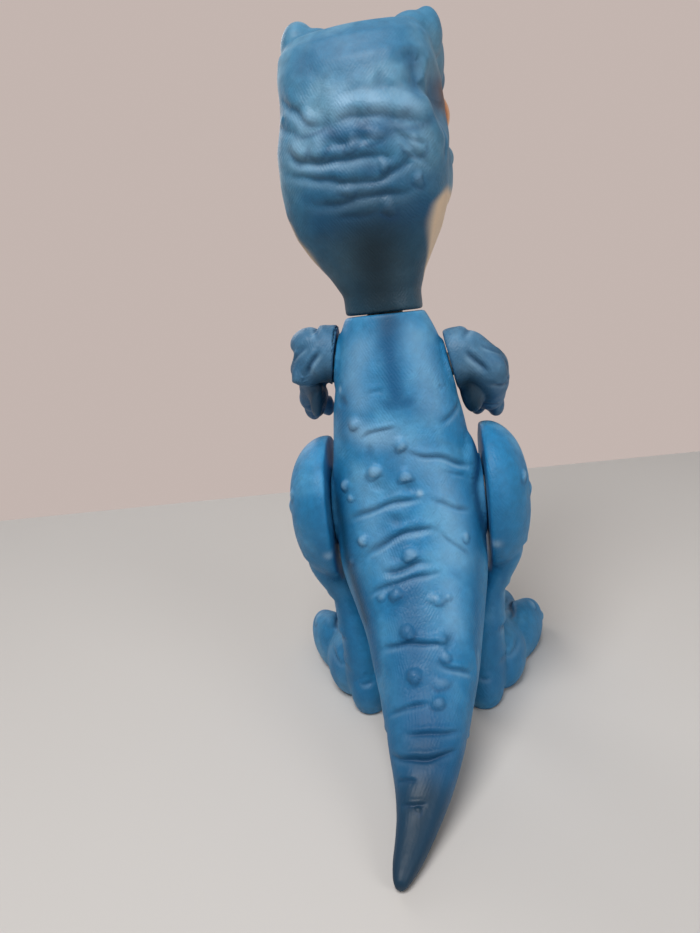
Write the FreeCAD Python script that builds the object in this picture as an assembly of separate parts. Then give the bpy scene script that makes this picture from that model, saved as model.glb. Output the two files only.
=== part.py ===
"""Toy dinosaur of moulded vinyl: hollow body with its tail, turning head with a hinged jaw, two arms and two legs.

Millimetres. The toy faces -Y and stands on z = 0. +X is its own left side.
Limbs and head each turn on a hard swivel plug, a short shaft with a flange at both ends, snapped through two walls.
"""

import FreeCAD
import Part

import math
import os

V = FreeCAD.Vector

# Driving sizes.
PLUMB_Y = -6.85  # where the neck and hips stand, in front of the middle of the toy's length
WALL = 2.4
JOINT_GAP = 0.3  # between two moulded pieces that turn on each other
RUNNING = 0.06  # radial clearance of a plug's shaft in the piece that turns
SEATED = 0.0  # a plug's shaft grips the body
SEAM_HEIGHT = 107.5  # the collar's top face
NECK_LEAN = 3.0  # degrees that the neck leans forward
HEAD_TURN = -6.0  # degrees, the head as stored looks to the toy's right
HEAD_TILT = -0.2  # degrees that the head leans towards the toy's left
SIDE_LEAN = 1.35  # degrees that the upper body leans to the toy's left
LEAN_FROM = 45.0  # height at which that lean starts
RING_POINTS = 16
FAR = 300.0

# Body and tail, from the collar down to the tail's tip:
# (y, z, lean of the section, half width, depth behind, depth in front, sideways shift).
BODY_SECTIONS = [
    (0.0, SEAM_HEIGHT + 1.0, 3, 9.5, 9.4, 9.4, 0.0),
    (0.0, 102.0, 2, 12.4, 11.4, 12.4, 0.0),
    (0.0, 96.5, 1, 13.8, 12.8, 14.6, 0.0),
    (0.0, 89.0, 0, 15.3, 14.4, 17.2, 0.0),
    (0.0, 81.0, 0, 16.8, 15.9, 19.2, 0.0),
    (0.4, 71.0, 3, 18.2, 17.4, 20.8, 0.0),
    (1.8, 61.5, 9, 19.2, 18.4, 21.6, 0.0),
    (5.0, 51.0, 22, 19.3, 18.6, 19.4, -0.2),
    (12.0, 39.3, 40, 18.2, 17.2, 13.4, -0.6),
    (20.0, 31.5, 47, 15.3, 14.4, 12.0, -1.4),
    (28.0, 24.6, 50, 13.1, 12.0, 10.8, -1.6),
    (36.0, 18.4, 55, 10.9, 9.8, 9.8, -1.3),
    (43.0, 14.0, 60, 9.1, 8.2, 8.2, -0.8),
    (50.0, 10.0, 65, 7.2, 6.5, 6.6, 0.0),
    (57.0, 6.6, 70, 5.2, 4.7, 5.0, 1.3),
    (63.0, 4.2, 74, 3.8, 3.4, 4.0, 3.1),
    (68.5, 2.7, 78, 2.4, 2.1, 2.7, 4.9),
    (71.6, 1.9, 80, 1.1, 1.0, 1.4, 5.8),
]
BODY_SQUARENESS = 2.35
# Warts down the back, on the skin.
WARTS = [
    V(11.0, 13.4, 82.4),
    V(0.0, 16.7, 76.8),
    V(7.0, 17.3, 71.1),
    V(-0.6, 18.5, 69.5),
    V(15.0, 13.8, 67.4),
    V(11.3, 20.7, 54.9),
    V(0.4, 24.3, 52.4),
    V(4.2, 28.3, 43.6),
    V(-6.5, 29.3, 42.0),
    V(2.2, 33.3, 36.6),
    V(-6.5, 34.5, 34.7),
    V(0.9, 39.5, 28.8),
    V(-4.2, 43.8, 23.9),
]
WART = (2.2, 0.8)  # radius of its ball, how far it stands out
HOLLOW_SECTIONS = 11  # the tail is solid beyond these
COLLAR_PLATE = 2.6

# Swivel plugs: (shaft radius, flange radius, flange thickness).
NECK_PLUG = (4.5, 6.6, 2.0)
SHOULDER_PLUG = (3.0, 4.8, 1.6)
HIP_PLUG = (5.0, 7.2, 2.0)
PLUG_FLOAT = 0.2  # play between a flange and the wall that it holds

# Shoulders and hips, for the left side; the right is their mirror.
SHOULDER = V(14.9, -1.0, 93.0)
SHOULDER_LEAN = 11.0  # degrees that the axis rises outwards, square to the flank
SHOULDER_BOSS = (7.0, 5.0)  # radius, depth
HIP = V(19.9, -1.0, 57.5)
HIP_BOSS = (11.0, 5.4)
LEFT_SHOULDER_RISE = 4.0  # up the flank, above the right shoulder
LEFT_ARM_REACH = 0.82  # the left arm stands out this much of what the right one does

# Arm: (point, radius) along each part, measured from the shoulder's own axis point.
UPPER_ARM = [((1.5, 0.0, 1.4), 7.8), ((6.0, 1.6, 0.8), 6.4), ((9.5, 2.4, -1.5), 5.2)]
FOREARM = [((9.7, 1.6, -2.0), 5.1), ((10.2, -3.4, -6.4), 4.8), ((9.9, -7.4, -10.0), 4.4)]
FINGERS = [((11.2, -7.6, -9.4), (12.2, -12.6, -17.0), 2.5), ((8.4, -7.4, -9.2), (6.4, -12.0, -16.0), 2.3)]

# Leg, for the left side. Thigh: (distance out from its flat face, half length along Y, half height).
THIGH_SECTIONS = [
    (0.0, 18.2, 18.9),
    (2.0, 18.5, 19.2),
    (5.0, 17.5, 18.3),
    (8.0, 14.9, 15.7),
    (10.2, 10.9, 11.6),
    (11.4, 6.4, 6.8),
]
THIGH_SQUARENESS = 2.2
# Shank, downwards: (z, x, y, half width, half depth). It passes under the belly, clear of the body.
SHANK_SECTIONS = [
    (58.0, 25.4, -1.0, 4.6, 11.0),
    (50.0, 25.4, -1.6, 5.6, 12.6),
    (44.0, 24.8, -1.8, 5.4, 12.0),
    (38.0, 22.8, -1.4, 5.0, 10.4),
    (32.0, 20.0, -0.6, 4.6, 9.0),
    (25.0, 18.2, 1.6, 5.2, 8.4),
    (17.0, 16.8, 3.4, 5.8, 8.6),
    (8.0, 16.8, 3.0, 6.0, 8.8),
    (4.0, 17.2, 2.0, 5.2, 7.8),
]
SHANK_SQUARENESS = 2.2
HEEL = ((15.8, 6.0, 5.6), (5.9, 8.6, 9.2))
INSTEP = ((20.6, -8.5, 6.8), (9.0, 15.5, 10.6))
TOES = [  # centre, half axes, degrees splayed outwards
    ((29.4, -17.0, 7.2), (5.4, 13.0, 8.9), 26.0),
    ((23.8, -22.5, 7.4), (5.5, 13.6, 9.2), 12.0),
    ((16.6, -21.0, 6.8), (5.1, 12.4, 8.4), -3.0),
]
CLAW = (2.5, 5.0)  # radius at the root, how far it reaches past the toe

# Head, in its own frame: z up from the collar's top face, y back from the neck's axis.
# (z, half width, depth behind, depth in front).
SKULL_SECTIONS = [
    (JOINT_GAP, 9.7, 9.6, 9.7),
    (5.0, 9.5, 9.6, 10.6),
    (10.0, 10.9, 10.4, 14.6),
    (15.0, 13.4, 12.0, 18.6),
    (20.0, 15.9, 13.9, 21.6),
    (25.5, 17.7, 15.6, 23.8),
    (32.0, 18.6, 16.6, 25.2),
    (40.0, 19.0, 17.0, 26.0),
    (48.0, 18.4, 16.4, 26.0),
    (55.0, 17.5, 15.0, 25.0),
    (60.5, 16.7, 12.2, 23.0),
    (64.0, 14.4, 8.2, 19.4),
    (65.6, 10.0, 3.6, 14.4),
]
SKULL_SQUARENESS = 2.5
MOUTH_Z = 34.5
# Muzzle, along -Y: (y, half width, top, bottom).
MUZZLE_SECTIONS = [
    (-8.0, 17.0, 58.0, 27.0),
    (-20.0, 16.9, 56.6, 26.0),
    (-32.0, 16.0, 54.0, 26.0),
    (-42.0, 14.7, 51.6, 26.5),
    (-49.5, 12.4, 49.0, 28.0),
    (-54.0, 8.8, 46.4, 30.0),
    (-56.0, 4.4, 43.8, 33.0),
]
MUZZLE_SQUARENESS = 2.9
# Raised forms on both sides of the head: centre, half axes, degrees that each dips forwards.
HEAD_FORMS = [
    ((14.6, -12.0, 61.0), (5.0, 12.8, 6.8), 14.0),  # brow ridge
    ((15.6, -4.5, 62.8), (3.5, 5.0, 5.8), 0.0),  # its rear peak
    ((14.4, -18.0, 38.6), (4.8, 9.0, 5.6), -12.0),  # cheek under the eye
    ((16.6, -8.0, 33.0), (4.0, 8.0, 9.0), 0.0),  # corner of the mouth
    ((8.4, -46.0, 48.4), (4.4, 6.4, 3.8), 14.0),  # nostril
]
EYE_CENTRE = V(11.0, -19.5, 48.6)
EYE_RADIUS = 7.6
EYE_BACK = 10.4  # the dome is cut off flat here, inside the head
EYE_SEAT = 0.0

# Jaw: hinge, then (y, half width, bottom) along -Y.
HINGE = V(0.0, -12.0, 31.5)
JAW_TOP = MOUTH_Z - 0.5
JAW_SECTIONS = [
    (-12.0, 14.0, 13.0),
    (-20.0, 14.2, 14.2),
    (-28.0, 13.8, 16.4),
    (-36.0, 12.9, 19.0),
    (-44.0, 11.2, 22.2),
    (-49.0, 8.6, 25.4),
    (-51.8, 4.4, 28.8),
]
JAW_SQUARENESS = 2.3
JAW_DRUM = (14.0, 18.5)  # half width and radius of the rounded rear part that turns in the throat
DRUM_STEP = 0.15  # the rear part is this much smaller than the jaw in front of it
JAW_ROOM = 0.6  # all round the jaw in the throat
JAW_OPEN = 22.0  # degrees
DRUM_BEHIND = 26.0  # degrees that the drum reaches behind the hinge
HINGE_PIN = (1.5, 11.5, 18.2)  # radius, inner end, outer end
HINGE_EAR = 4.2

TOOTH_RADIUS = 1.0
TOOTH_LENGTH = 2.8
UPPER_TEETH_Y = [-27.0, -30.6, -34.2, -37.8, -41.4, -45.0, -48.4]
LOWER_TEETH_Y = [-26.0, -29.6, -33.2, -36.8, -40.4, -43.8]


def ring(centre, across, upward, half_width, up_half, down_half, squareness):
    """Closed smooth outline in the plane of two directions, wider than an ellipse at its corners as squareness grows."""
    points = []
    for k in range(RING_POINTS):
        turn = 2.0 * math.pi * k / RING_POINTS
        c, s = math.cos(turn), math.sin(turn)
        wide = half_width * math.copysign(abs(c) ** (2.0 / squareness), c)
        high = (up_half if s > 0 else down_half) * math.copysign(abs(s) ** (2.0 / squareness), s)
        points.append(centre + across * wide + upward * high)
    curve = Part.BSplineCurve()
    curve.interpolate(Points=points, PeriodicFlag=True)
    return Part.Wire([curve.toShape()])


def side_lean(z):
    """How far the body's axis has moved sideways at a height."""
    return max(z - LEAN_FROM, 0.0) * math.tan(math.radians(SIDE_LEAN))


def body_rings(inset, sections):
    """Outlines of the body, each smaller than the skin by the inset."""
    rings = []
    for y, z, lean, half_width, behind, front, shift in sections:
        tilt = math.radians(lean)
        back = V(0, math.cos(tilt), math.sin(tilt))
        centre = V(shift + side_lean(z), y, z)
        rings.append(
            ring(centre, V(1, 0, 0), back, half_width - inset, behind - inset, front - inset, BODY_SQUARENESS)
        )
    return rings


def wart(place):
    """Round wart, sunk towards the middle of the nearest section."""
    middles = [V(shift + side_lean(z), y, z) for y, z, _, _, _, _, shift in BODY_SECTIONS]
    middle = min(middles, key=lambda point: (point - place).Length)
    radius, height = WART
    inwards = (middle - place).normalize()
    return Part.makeSphere(radius, place + inwards * (radius - height))


def ellipsoid(centre, half_axes, splay=0.0):
    """Ellipsoid with its half axes along X, Y and Z, then turned about the vertical."""
    stretch = FreeCAD.Matrix()
    stretch.A11, stretch.A22, stretch.A33 = half_axes
    shape = Part.makeSphere(1.0).transformGeometry(stretch)
    if splay:
        shape.rotate(V(0, 0, 0), V(0, 0, 1), splay)
    shape.translate(V(*centre))
    return shape


def pod(start, finish, radius):
    """Long round form between two points."""
    start, finish = V(*start), V(*finish)
    along = finish - start
    shape = ellipsoid((0, 0, 0), (radius, radius, along.Length / 2.0))
    turn = FreeCAD.Rotation(V(0, 0, 1), along)
    shape.Placement = FreeCAD.Placement((start + finish) * 0.5, turn)
    return shape


def rounded_limb(stations):
    """Smooth tube through (point, radius) stations with a half round end at each side."""
    points = [V(*p) for p, _ in stations]
    radii = [r for _, r in stations]
    start = (points[0] - points[1]).normalize()
    finish = (points[-1] - points[-2]).normalize()
    cap_angles = [80.0, 55.0, 28.0]
    rows = []
    for angle in cap_angles:
        a = math.radians(angle)
        rows.append((points[0] + start * (radii[0] * math.sin(a)), start * -1.0, radii[0] * math.cos(a)))
    for k, point in enumerate(points):
        before = points[max(k - 1, 0)]
        after = points[min(k + 1, len(points) - 1)]
        rows.append((point, (after - before).normalize(), radii[k]))
    for angle in reversed(cap_angles):
        a = math.radians(angle)
        rows.append((points[-1] + finish * (radii[-1] * math.sin(a)), finish, radii[-1] * math.cos(a)))
    rings = []
    for centre, along, radius in rows:
        across = along.cross(V(0, 1, 0.2)).normalize()
        upward = across.cross(along).normalize()
        rings.append(ring(centre, across, upward, radius, radius, radius, 2.0))
    return Part.makeLoft(rings, True, False)


def joined(shapes):
    """One solid from shapes that overlap."""
    whole = shapes[0]
    for shape in shapes[1:]:
        whole = whole.fuse(shape)
    return whole


def disc(base, axis, radius, length):
    """Cylinder from a base point along an axis."""
    return Part.makeCylinder(radius, length, base, axis)


def half_space(point, outward):
    """Large block on the side of a plane that the normal points to."""
    block = Part.makeBox(FAR, FAR, FAR, V(-FAR / 2, -FAR / 2, 0))
    block.Placement = FreeCAD.Placement(point, FreeCAD.Rotation(V(0, 0, 1), outward))
    return block


def mirrored(shape):
    """The same piece for the other side of the toy."""
    return shape.mirror(V(0, 0, 0), V(1, 0, 0))


def swivel_plug(face, axis, sizes, wall_below, wall_above):
    """Shaft across two walls that meet at a face, with a flange behind each wall."""
    shaft_radius, flange_radius, thickness = sizes
    low = -wall_below - PLUG_FLOAT - thickness
    high = wall_above + PLUG_FLOAT
    shaft = disc(face + axis * low, axis, shaft_radius, high + thickness - low)
    inner = disc(face + axis * low, axis, flange_radius, thickness)
    outer = disc(face + axis * high, axis, flange_radius, thickness)
    return shaft.fuse(inner).fuse(outer).removeSplitter()


def shoulder_axis(side):
    """Outward direction of a shoulder's axis; side is 1 for left and -1 for right."""
    lean = math.radians(SHOULDER_LEAN)
    return V(side * math.cos(lean), 0, math.sin(lean))


def neck_axis():
    """Upward direction of the neck's axis."""
    lean, tilt = math.radians(NECK_LEAN), math.radians(HEAD_TILT)
    return V(math.sin(tilt), -math.sin(lean) * math.cos(tilt), math.cos(lean) * math.cos(tilt))


def at_side(point, side):
    """A point of the left side, or its mirror on the right."""
    return V(side * point.x, point.y, point.z)


def shoulder_face(side):
    """Middle of a shoulder's flat face, on the body as it leans; the left one sits further up the flank."""
    lean = math.radians(SHOULDER_LEAN)
    rise = LEFT_SHOULDER_RISE if side > 0 else 0.0
    return at_side(SHOULDER, side) + V(side_lean(SHOULDER.z) - rise * math.sin(lean), 0, rise * math.cos(lean))


def collar_face():
    """Middle of the collar's top face."""
    return V(side_lean(SEAM_HEIGHT), 0, SEAM_HEIGHT)


def body_shell():
    """Torso and tail in one hollow moulding, with flat bosses where the limbs turn."""
    outer = Part.makeLoft(body_rings(0.0, BODY_SECTIONS), True, False)
    outer = outer.common(half_space(V(0, 0, 0), V(0, 0, 1)))
    outer = outer.cut(half_space(collar_face(), neck_axis()))
    for place in WARTS:
        outer = outer.fuse(wart(place))
    hollow = BODY_SECTIONS[:HOLLOW_SECTIONS]
    first = list(hollow[0])
    first[1] -= COLLAR_PLATE + 1.0
    first[3:6] = [value + 1.6 for value in first[3:6]]
    inner = Part.makeLoft(body_rings(WALL, [tuple(first)] + hollow[1:]), True, False)
    shell = outer.cut(inner)
    for side in (1, -1):
        shoulder, hip = shoulder_face(side), at_side(HIP, side)
        out, hip_out = shoulder_axis(side), V(side, 0, 0)
        radius, depth = SHOULDER_BOSS
        shell = shell.fuse(disc(shoulder - out * depth, out, radius, depth))
        radius, depth = HIP_BOSS
        shell = shell.fuse(disc(hip - hip_out * depth, hip_out, radius, depth))
    for side in (1, -1):
        shoulder, hip = shoulder_face(side), at_side(HIP, side)
        out, hip_out = shoulder_axis(side), V(side, 0, 0)
        shell = shell.cut(disc(shoulder - out * 8.0, out, SHOULDER_PLUG[0] + SEATED, 10.0))
        shell = shell.cut(disc(hip - hip_out * 8.0, hip_out, HIP_PLUG[0] + SEATED, 10.0))
    return shell.cut(disc(collar_face() - neck_axis() * 6.0, neck_axis(), NECK_PLUG[0] + SEATED, 12.0))


def arm(reach):
    """Left arm on its own shoulder: upper arm, bent forearm and two clawed fingers, flat where it meets the body.

    The reach scales how far the arm's parts stand out from the body.
    """

    def reached(place):
        return (place[0] * reach, place[1], place[2])

    parts = [[(reached(place), radius) for place, radius in part] for part in (UPPER_ARM, FOREARM)]
    forms = [rounded_limb(part) for part in parts]
    forms += [pod(reached(start), reached(finish), radius) for start, finish, radius in FINGERS]
    shape = joined(forms)
    shape.translate(SHOULDER)
    out = shoulder_axis(1)
    face = SHOULDER + out * JOINT_GAP
    shape = shape.common(half_space(face, out))
    shaft_radius, flange_radius, thickness = SHOULDER_PLUG
    pocket = disc(face + out * WALL, out, flange_radius + 0.3, thickness + 2.0 * PLUG_FLOAT)
    bore = disc(face - out, out, shaft_radius + RUNNING, WALL + 2.0)
    return shape.cut(pocket).cut(bore)


def thigh(inset, start):
    """Thigh, flat towards the body and domed outwards, smaller than the skin by the inset."""
    face = HIP.x + JOINT_GAP
    rings = []
    for out, half_length, half_height in THIGH_SECTIONS:
        centre = V(face + max(start, out) - (inset if out > start else 0.0), HIP.y, HIP.z)
        size = (half_length - inset, half_height - inset, half_height - inset)
        rings.append(ring(centre, V(0, 1, 0), V(0, 0, 1), *size, THIGH_SQUARENESS))
    return Part.makeLoft(rings, True, False)


def shank():
    """Shin and calf, from inside the thigh down into the foot."""
    rings = []
    for z, x, y, half_width, half_depth in SHANK_SECTIONS:
        size = (half_width, half_depth, half_depth)
        rings.append(ring(V(x, y, z), V(1, 0, 0), V(0, 1, 0), *size, SHANK_SQUARENESS))
    return Part.makeLoft(rings, True, False)


def leg():
    """Left leg: domed hollow thigh, shank and a flat soled foot with three clawed toes."""
    forms = [thigh(0.0, 0.0), shank(), ellipsoid(*HEEL), ellipsoid(*INSTEP)]
    for centre, half_axes, splay in TOES:
        forms.append(ellipsoid(centre, half_axes, splay))
    for centre, half_axes, splay in TOES:
        turn = math.radians(splay)
        forward = V(math.sin(turn), -math.cos(turn), 0)
        front = V(*centre) + forward * half_axes[1]
        tip = V(front.x, front.y, 2.6) + forward * CLAW[1]
        forms.append(pod(front - forward * 4.5 + V(0, 0, 1.0), tip, CLAW[0]))
    shape = joined(forms)
    inside = HIP.x + JOINT_GAP
    below_belly = Part.makeBox(FAR, FAR, 38.0, V(0, -FAR / 2, 0))
    shape = shape.common(half_space(V(inside, 0, 0), V(1, 0, 0)).fuse(below_belly))
    shape = shape.common(half_space(V(0, 0, 0), V(0, 0, 1)))
    cavity = thigh(WALL, WALL)
    shaft_radius = HIP_PLUG[0]
    bore = disc(V(inside - 1.0, HIP.y, HIP.z), V(1, 0, 0), shaft_radius + RUNNING, WALL + 2.0)
    return shape.cut(cavity).cut(bore)


def to_body_frame(shape):
    """Puts a piece from the head's own frame onto the collar, leaning and turned as it is stored."""
    placed = shape.copy()
    placed.rotate(V(0, 0, 0), V(0, 0, 1), HEAD_TURN)
    placed.rotate(V(0, 0, 0), V(0, 1, 0), HEAD_TILT)
    placed.rotate(V(0, 0, 0), V(1, 0, 0), NECK_LEAN)
    placed.translate(collar_face())
    return placed


def skull_loft(inset, sections):
    """Skull and neck, smaller than the skin by the inset."""
    rings = [
        ring(V(0, 0, z), V(1, 0, 0), V(0, 1, 0), half_width - inset, behind - inset, front - inset, SKULL_SQUARENESS)
        for z, half_width, behind, front in sections
    ]
    return Part.makeLoft(rings, True, False)


def muzzle_loft(inset, sections):
    """Upper snout, smaller than the skin by the inset."""
    rings = []
    for y, half_width, top, bottom in sections:
        middle, half = (top + bottom) / 2.0, (top - bottom) / 2.0
        rings.append(
            ring(V(0, y, middle), V(1, 0, 0), V(0, 0, 1), half_width - inset, half - inset, half, MUZZLE_SQUARENESS)
        )
    return Part.makeLoft(rings, True, False)


def jaw_rings_width(y):
    """Half width of the jaw at a place along the snout."""
    for (y0, w0, _), (y1, w1, _) in zip(JAW_SECTIONS, JAW_SECTIONS[1:]):
        if y1 <= y <= y0:
            return w0 + (w1 - w0) * (y - y0) / (y1 - y0)
    return JAW_SECTIONS[-1][1]


def hinge_barrel(half_width, radius):
    """Barrel about the jaw's hinge, whose bulge follows the jaw's own section."""
    profile = ring(HINGE, V(1, 0, 0), V(0, 0, 1), half_width, radius, radius, JAW_SQUARENESS)
    upper = Part.Face(profile).common(Part.makeBox(FAR, FAR, FAR, V(-FAR / 2, -FAR / 2, HINGE.z)))
    return upper.revolve(HINGE, V(1, 0, 0), 360.0)


def jaw_room():
    """Space in the throat and below the snout that the jaw sweeps as it opens."""
    half_width, radius = (value + JAW_ROOM for value in JAW_DRUM)
    room = hinge_barrel(half_width, radius)
    for opened, extra in ((0.0, 0.15), (JAW_OPEN, 0.3)):
        size = (half_width + extra, radius + extra, radius + extra)
        profile = ring(HINGE, V(1, 0, 0), V(0, 0, 1), *size, JAW_SQUARENESS)
        ahead = Part.Face(profile).extrude(V(0, -60.0, 0))
        ahead.rotate(HINGE, V(1, 0, 0), opened)
        room = room.fuse(ahead)
    return room.cut(half_space(V(0, 0, MOUTH_Z), V(0, 0, 1)))


def hinge_cylinder(radius, half_width):
    """Round block about the jaw's hinge."""
    return disc(HINGE - V(half_width, 0, 0), V(1, 0, 0), radius, 2.0 * half_width)


def head_shell():
    """Hollow head and neck with the upper snout, brow ridges, eye sockets and the room for the jaw."""
    outer = skull_loft(0.0, SKULL_SECTIONS)
    muzzle = muzzle_loft(0.0, MUZZLE_SECTIONS)
    muzzle = muzzle.common(half_space(V(0, 0, MOUTH_Z), V(0, 0, 1)))
    outer = outer.fuse(muzzle)
    for side in (1, -1):
        for (x, y, z), half_axes, dip in HEAD_FORMS:
            form = ellipsoid((0, 0, 0), half_axes)
            form.rotate(V(0, 0, 0), V(1, 0, 0), dip)
            form.translate(V(side * x, y, z))
            outer = outer.fuse(form)
    floor = WALL + JOINT_GAP
    inner_sections = [(floor,) + SKULL_SECTIONS[0][1:]] + SKULL_SECTIONS[1:-2]
    hollow = skull_loft(WALL, inner_sections)
    mouth = muzzle_loft(WALL, MUZZLE_SECTIONS[:-2])
    shape = outer.cut(hollow)
    side_face = JAW_DRUM[0] + JAW_ROOM - 1.0
    for side in (1, -1):
        ear_face = V(side * side_face, HINGE.y, HINGE.z)
        shape = shape.fuse(disc(ear_face, V(side, 0, 0), HINGE_EAR, 18.0 - side_face))
    shape = shape.cut(mouth).cut(jaw_room())
    pin_radius, inner_end, outer_end = HINGE_PIN
    for side in (1, -1):
        seat = V(side * inner_end, HINGE.y, HINGE.z)
        shape = shape.cut(disc(seat, V(side, 0, 0), pin_radius + SEATED, outer_end - inner_end))
        shape = shape.cut(eye_ball(side, EYE_SEAT).common(half_space(V(side * (EYE_BACK - 1.0), 0, 0), V(side, 0, 0))))
    return shape.cut(disc(V(0, 0, -1), V(0, 0, 1), NECK_PLUG[0] + RUNNING, 8.0))


def eye_ball(side, extra=0.0):
    """Whole ball of an eye."""
    return Part.makeSphere(EYE_RADIUS + extra, at_side(EYE_CENTRE, side))


def eye(side):
    """Glossy dome pressed into its socket from inside the head."""
    return eye_ball(side).common(half_space(V(side * EYE_BACK, 0, 0), V(side, 0, 0)))


def mouth_roof():
    """Palate that closes the hollow snout above the tongue."""
    roof = muzzle_loft(WALL, MUZZLE_SECTIONS[:-2])
    slab = Part.makeBox(60.0, 30.0, 2.2, V(-30.0, -47.0, MOUTH_Z + 3.4))
    return roof.common(slab)


def tooth(base, down):
    """One conical tooth on a base point."""
    direction = V(0, 0, -1 if down else 1)
    return Part.makeCone(TOOTH_RADIUS, 0.25, TOOTH_LENGTH, base, direction)


def tooth_row(places, half_width_at, height, down):
    """Both sides of a row of teeth, each side on a thin gum strip that holds them together."""
    teeth = []
    for side in (1, -1):
        for y in places:
            teeth.append(tooth(V(side * half_width_at(y), y, height), down))
        for y0, y1 in zip(places, places[1:]):
            a, b = V(side * half_width_at(y0), y0, height), V(side * half_width_at(y1), y1, height)
            along = b - a
            teeth.append(Part.makeCylinder(0.55, along.Length, a, along.normalize()))
    return teeth


def muzzle_tooth_line(y):
    """Half width of the line of the upper teeth."""
    return jaw_rings_width(y) + TOOTH_RADIUS + 0.35


def upper_teeth():
    """Ivory teeth of the upper jaw, which hang outside the lower jaw."""
    row = tooth_row(UPPER_TEETH_Y, muzzle_tooth_line, MOUTH_Z - 0.4, True)
    return joined(row)


def lower_tooth_line(y):
    """Half width of the line of the lower teeth."""
    return jaw_rings_width(y) - TOOTH_RADIUS - 0.7


def lower_teeth():
    """Ivory teeth of the lower jaw, which close inside the upper ones."""
    row = tooth_row(LOWER_TEETH_Y, lower_tooth_line, JAW_TOP + 0.3, False)
    return joined(row)


def lower_jaw():
    """Lower jaw with a trough for the tongue and a round rear that turns in the throat."""
    rings = []
    for y, half_width, bottom in JAW_SECTIONS:
        depth = HINGE.z - bottom
        rings.append(ring(V(0, y, HINGE.z), V(1, 0, 0), V(0, 0, 1), half_width, depth, depth, JAW_SQUARENESS))
    shape = Part.makeLoft(rings, True, False)
    drum = hinge_barrel(*(value - DRUM_STEP for value in JAW_DRUM))
    drum = drum.common(half_space(HINGE, V(0, 0, -1)))
    behind = math.radians(DRUM_BEHIND)
    drum = drum.cut(half_space(HINGE, V(0, math.cos(behind), math.sin(behind))))
    drum = drum.cut(hinge_cylinder(9.0, JAW_DRUM[0] - 4.0))
    shape = shape.fuse(drum)
    shape = shape.fuse(hinge_cylinder(4.6, JAW_DRUM[0] - 0.3))
    shape = shape.cut(half_space(V(0, 0, JAW_TOP), V(0, 0, 1)))
    trough = ellipsoid((0, -27.0, JAW_TOP), (8.4, 19.0, 3.6))
    shape = shape.cut(trough)
    pin_radius = HINGE_PIN[0]
    bore = disc(HINGE - V(20.0, 0, 0), V(1, 0, 0), pin_radius + RUNNING, 40.0)
    middle_web = hinge_cylinder(4.6, HINGE_PIN[1] - 0.3)
    return shape.cut(bore.cut(middle_web))


def tongue():
    """Tongue that lies in the jaw's trough."""
    slab = ellipsoid((0, -26.5, JAW_TOP - 0.6), (6.4, 15.5, 2.1))
    return slab


def jaw_pins():
    """Two short hinge pins, one each side, seated in the cheeks."""
    radius, inner_end, outer_end = HINGE_PIN
    pins = [disc(V(side * inner_end, HINGE.y, HINGE.z), V(side, 0, 0), radius, outer_end - inner_end) for side in (1, -1)]
    return Part.makeCompound(pins)


def neck_plug():
    """Swivel plug that carries the head."""
    return swivel_plug(collar_face(), neck_axis(), NECK_PLUG, COLLAR_PLATE + 0.3, JOINT_GAP + WALL)


def shoulder_plug():
    """Swivel plug of the left arm."""
    return swivel_plug(SHOULDER, shoulder_axis(1), SHOULDER_PLUG, SHOULDER_BOSS[1], JOINT_GAP + WALL)


def hip_plug():
    """Swivel plug of the left leg."""
    return swivel_plug(HIP, V(1, 0, 0), HIP_PLUG, HIP_BOSS[1], JOINT_GAP + WALL)


def on_shoulder(shape, side):
    """An arm or its plug, moved onto its shoulder of the body as it leans."""
    placed = shape.copy()
    placed.translate(shoulder_face(side) - at_side(SHOULDER, side))
    return placed


def save(name, shape):
    """Moves a finished piece to the part's origin and writes it."""
    placed = shape.copy()
    placed.translate(V(0, PLUMB_Y, 0))
    placed.exportStep(os.path.join("parts", name + ".step"))
    solids = placed.Solids
    valid = all(s.isValid() and s.isClosed() for s in solids)
    box = placed.optimalBoundingBox()
    print(
        f"{name:20s} solids {len(solids)} valid {valid} volume {placed.Volume:9.1f}"
        f" x {box.XMin:6.1f} {box.XMax:6.1f} y {box.YMin:6.1f} {box.YMax:6.1f} z {box.ZMin:6.1f} {box.ZMax:6.1f}"
    )


def main():
    """Builds and writes every piece."""
    os.makedirs("parts", exist_ok=True)
    save("body_shell", body_shell())
    save("neck_plug", neck_plug())
    hip, shoulder = hip_plug(), shoulder_plug()
    save("hip_plug_left", hip)
    save("hip_plug_right", mirrored(hip))
    save("shoulder_plug_left", on_shoulder(shoulder, 1))
    save("shoulder_plug_right", on_shoulder(mirrored(shoulder), -1))
    save("arm_left", on_shoulder(arm(LEFT_ARM_REACH), 1))
    save("arm_right", on_shoulder(mirrored(arm(1.0)), -1))
    left_leg = leg()
    save("leg_left", left_leg)
    save("leg_right", mirrored(left_leg))
    save("head_shell", to_body_frame(head_shell()))
    save("eye_left", to_body_frame(eye(1)))
    save("eye_right", to_body_frame(eye(-1)))
    save("mouth_roof", to_body_frame(mouth_roof()))
    save("upper_teeth", to_body_frame(upper_teeth()))
    save("lower_jaw", to_body_frame(lower_jaw()))
    save("lower_teeth", to_body_frame(lower_teeth()))
    save("tongue", to_body_frame(tongue()))
    save("jaw_pins", to_body_frame(jaw_pins()))


main()
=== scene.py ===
"""Toy dinosaur of moulded vinyl, dressed over its fixed frame.

The skins start from the moulded pieces' own outer surfaces, or from lofted sections and rounded lumps. They are
drawn over by a fine even mesh and then carved stroke by stroke, with creases, bumps and airbrushed patches,
painted shade in creases, hollows and shaded undersides, and painted highlights on ridges and wart tops.
Working meshes are in millimetres and become metres when a piece is finished.
"""

import logging
import math
from collections.abc import Callable
from dataclasses import dataclass, replace
from enum import Enum

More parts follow.
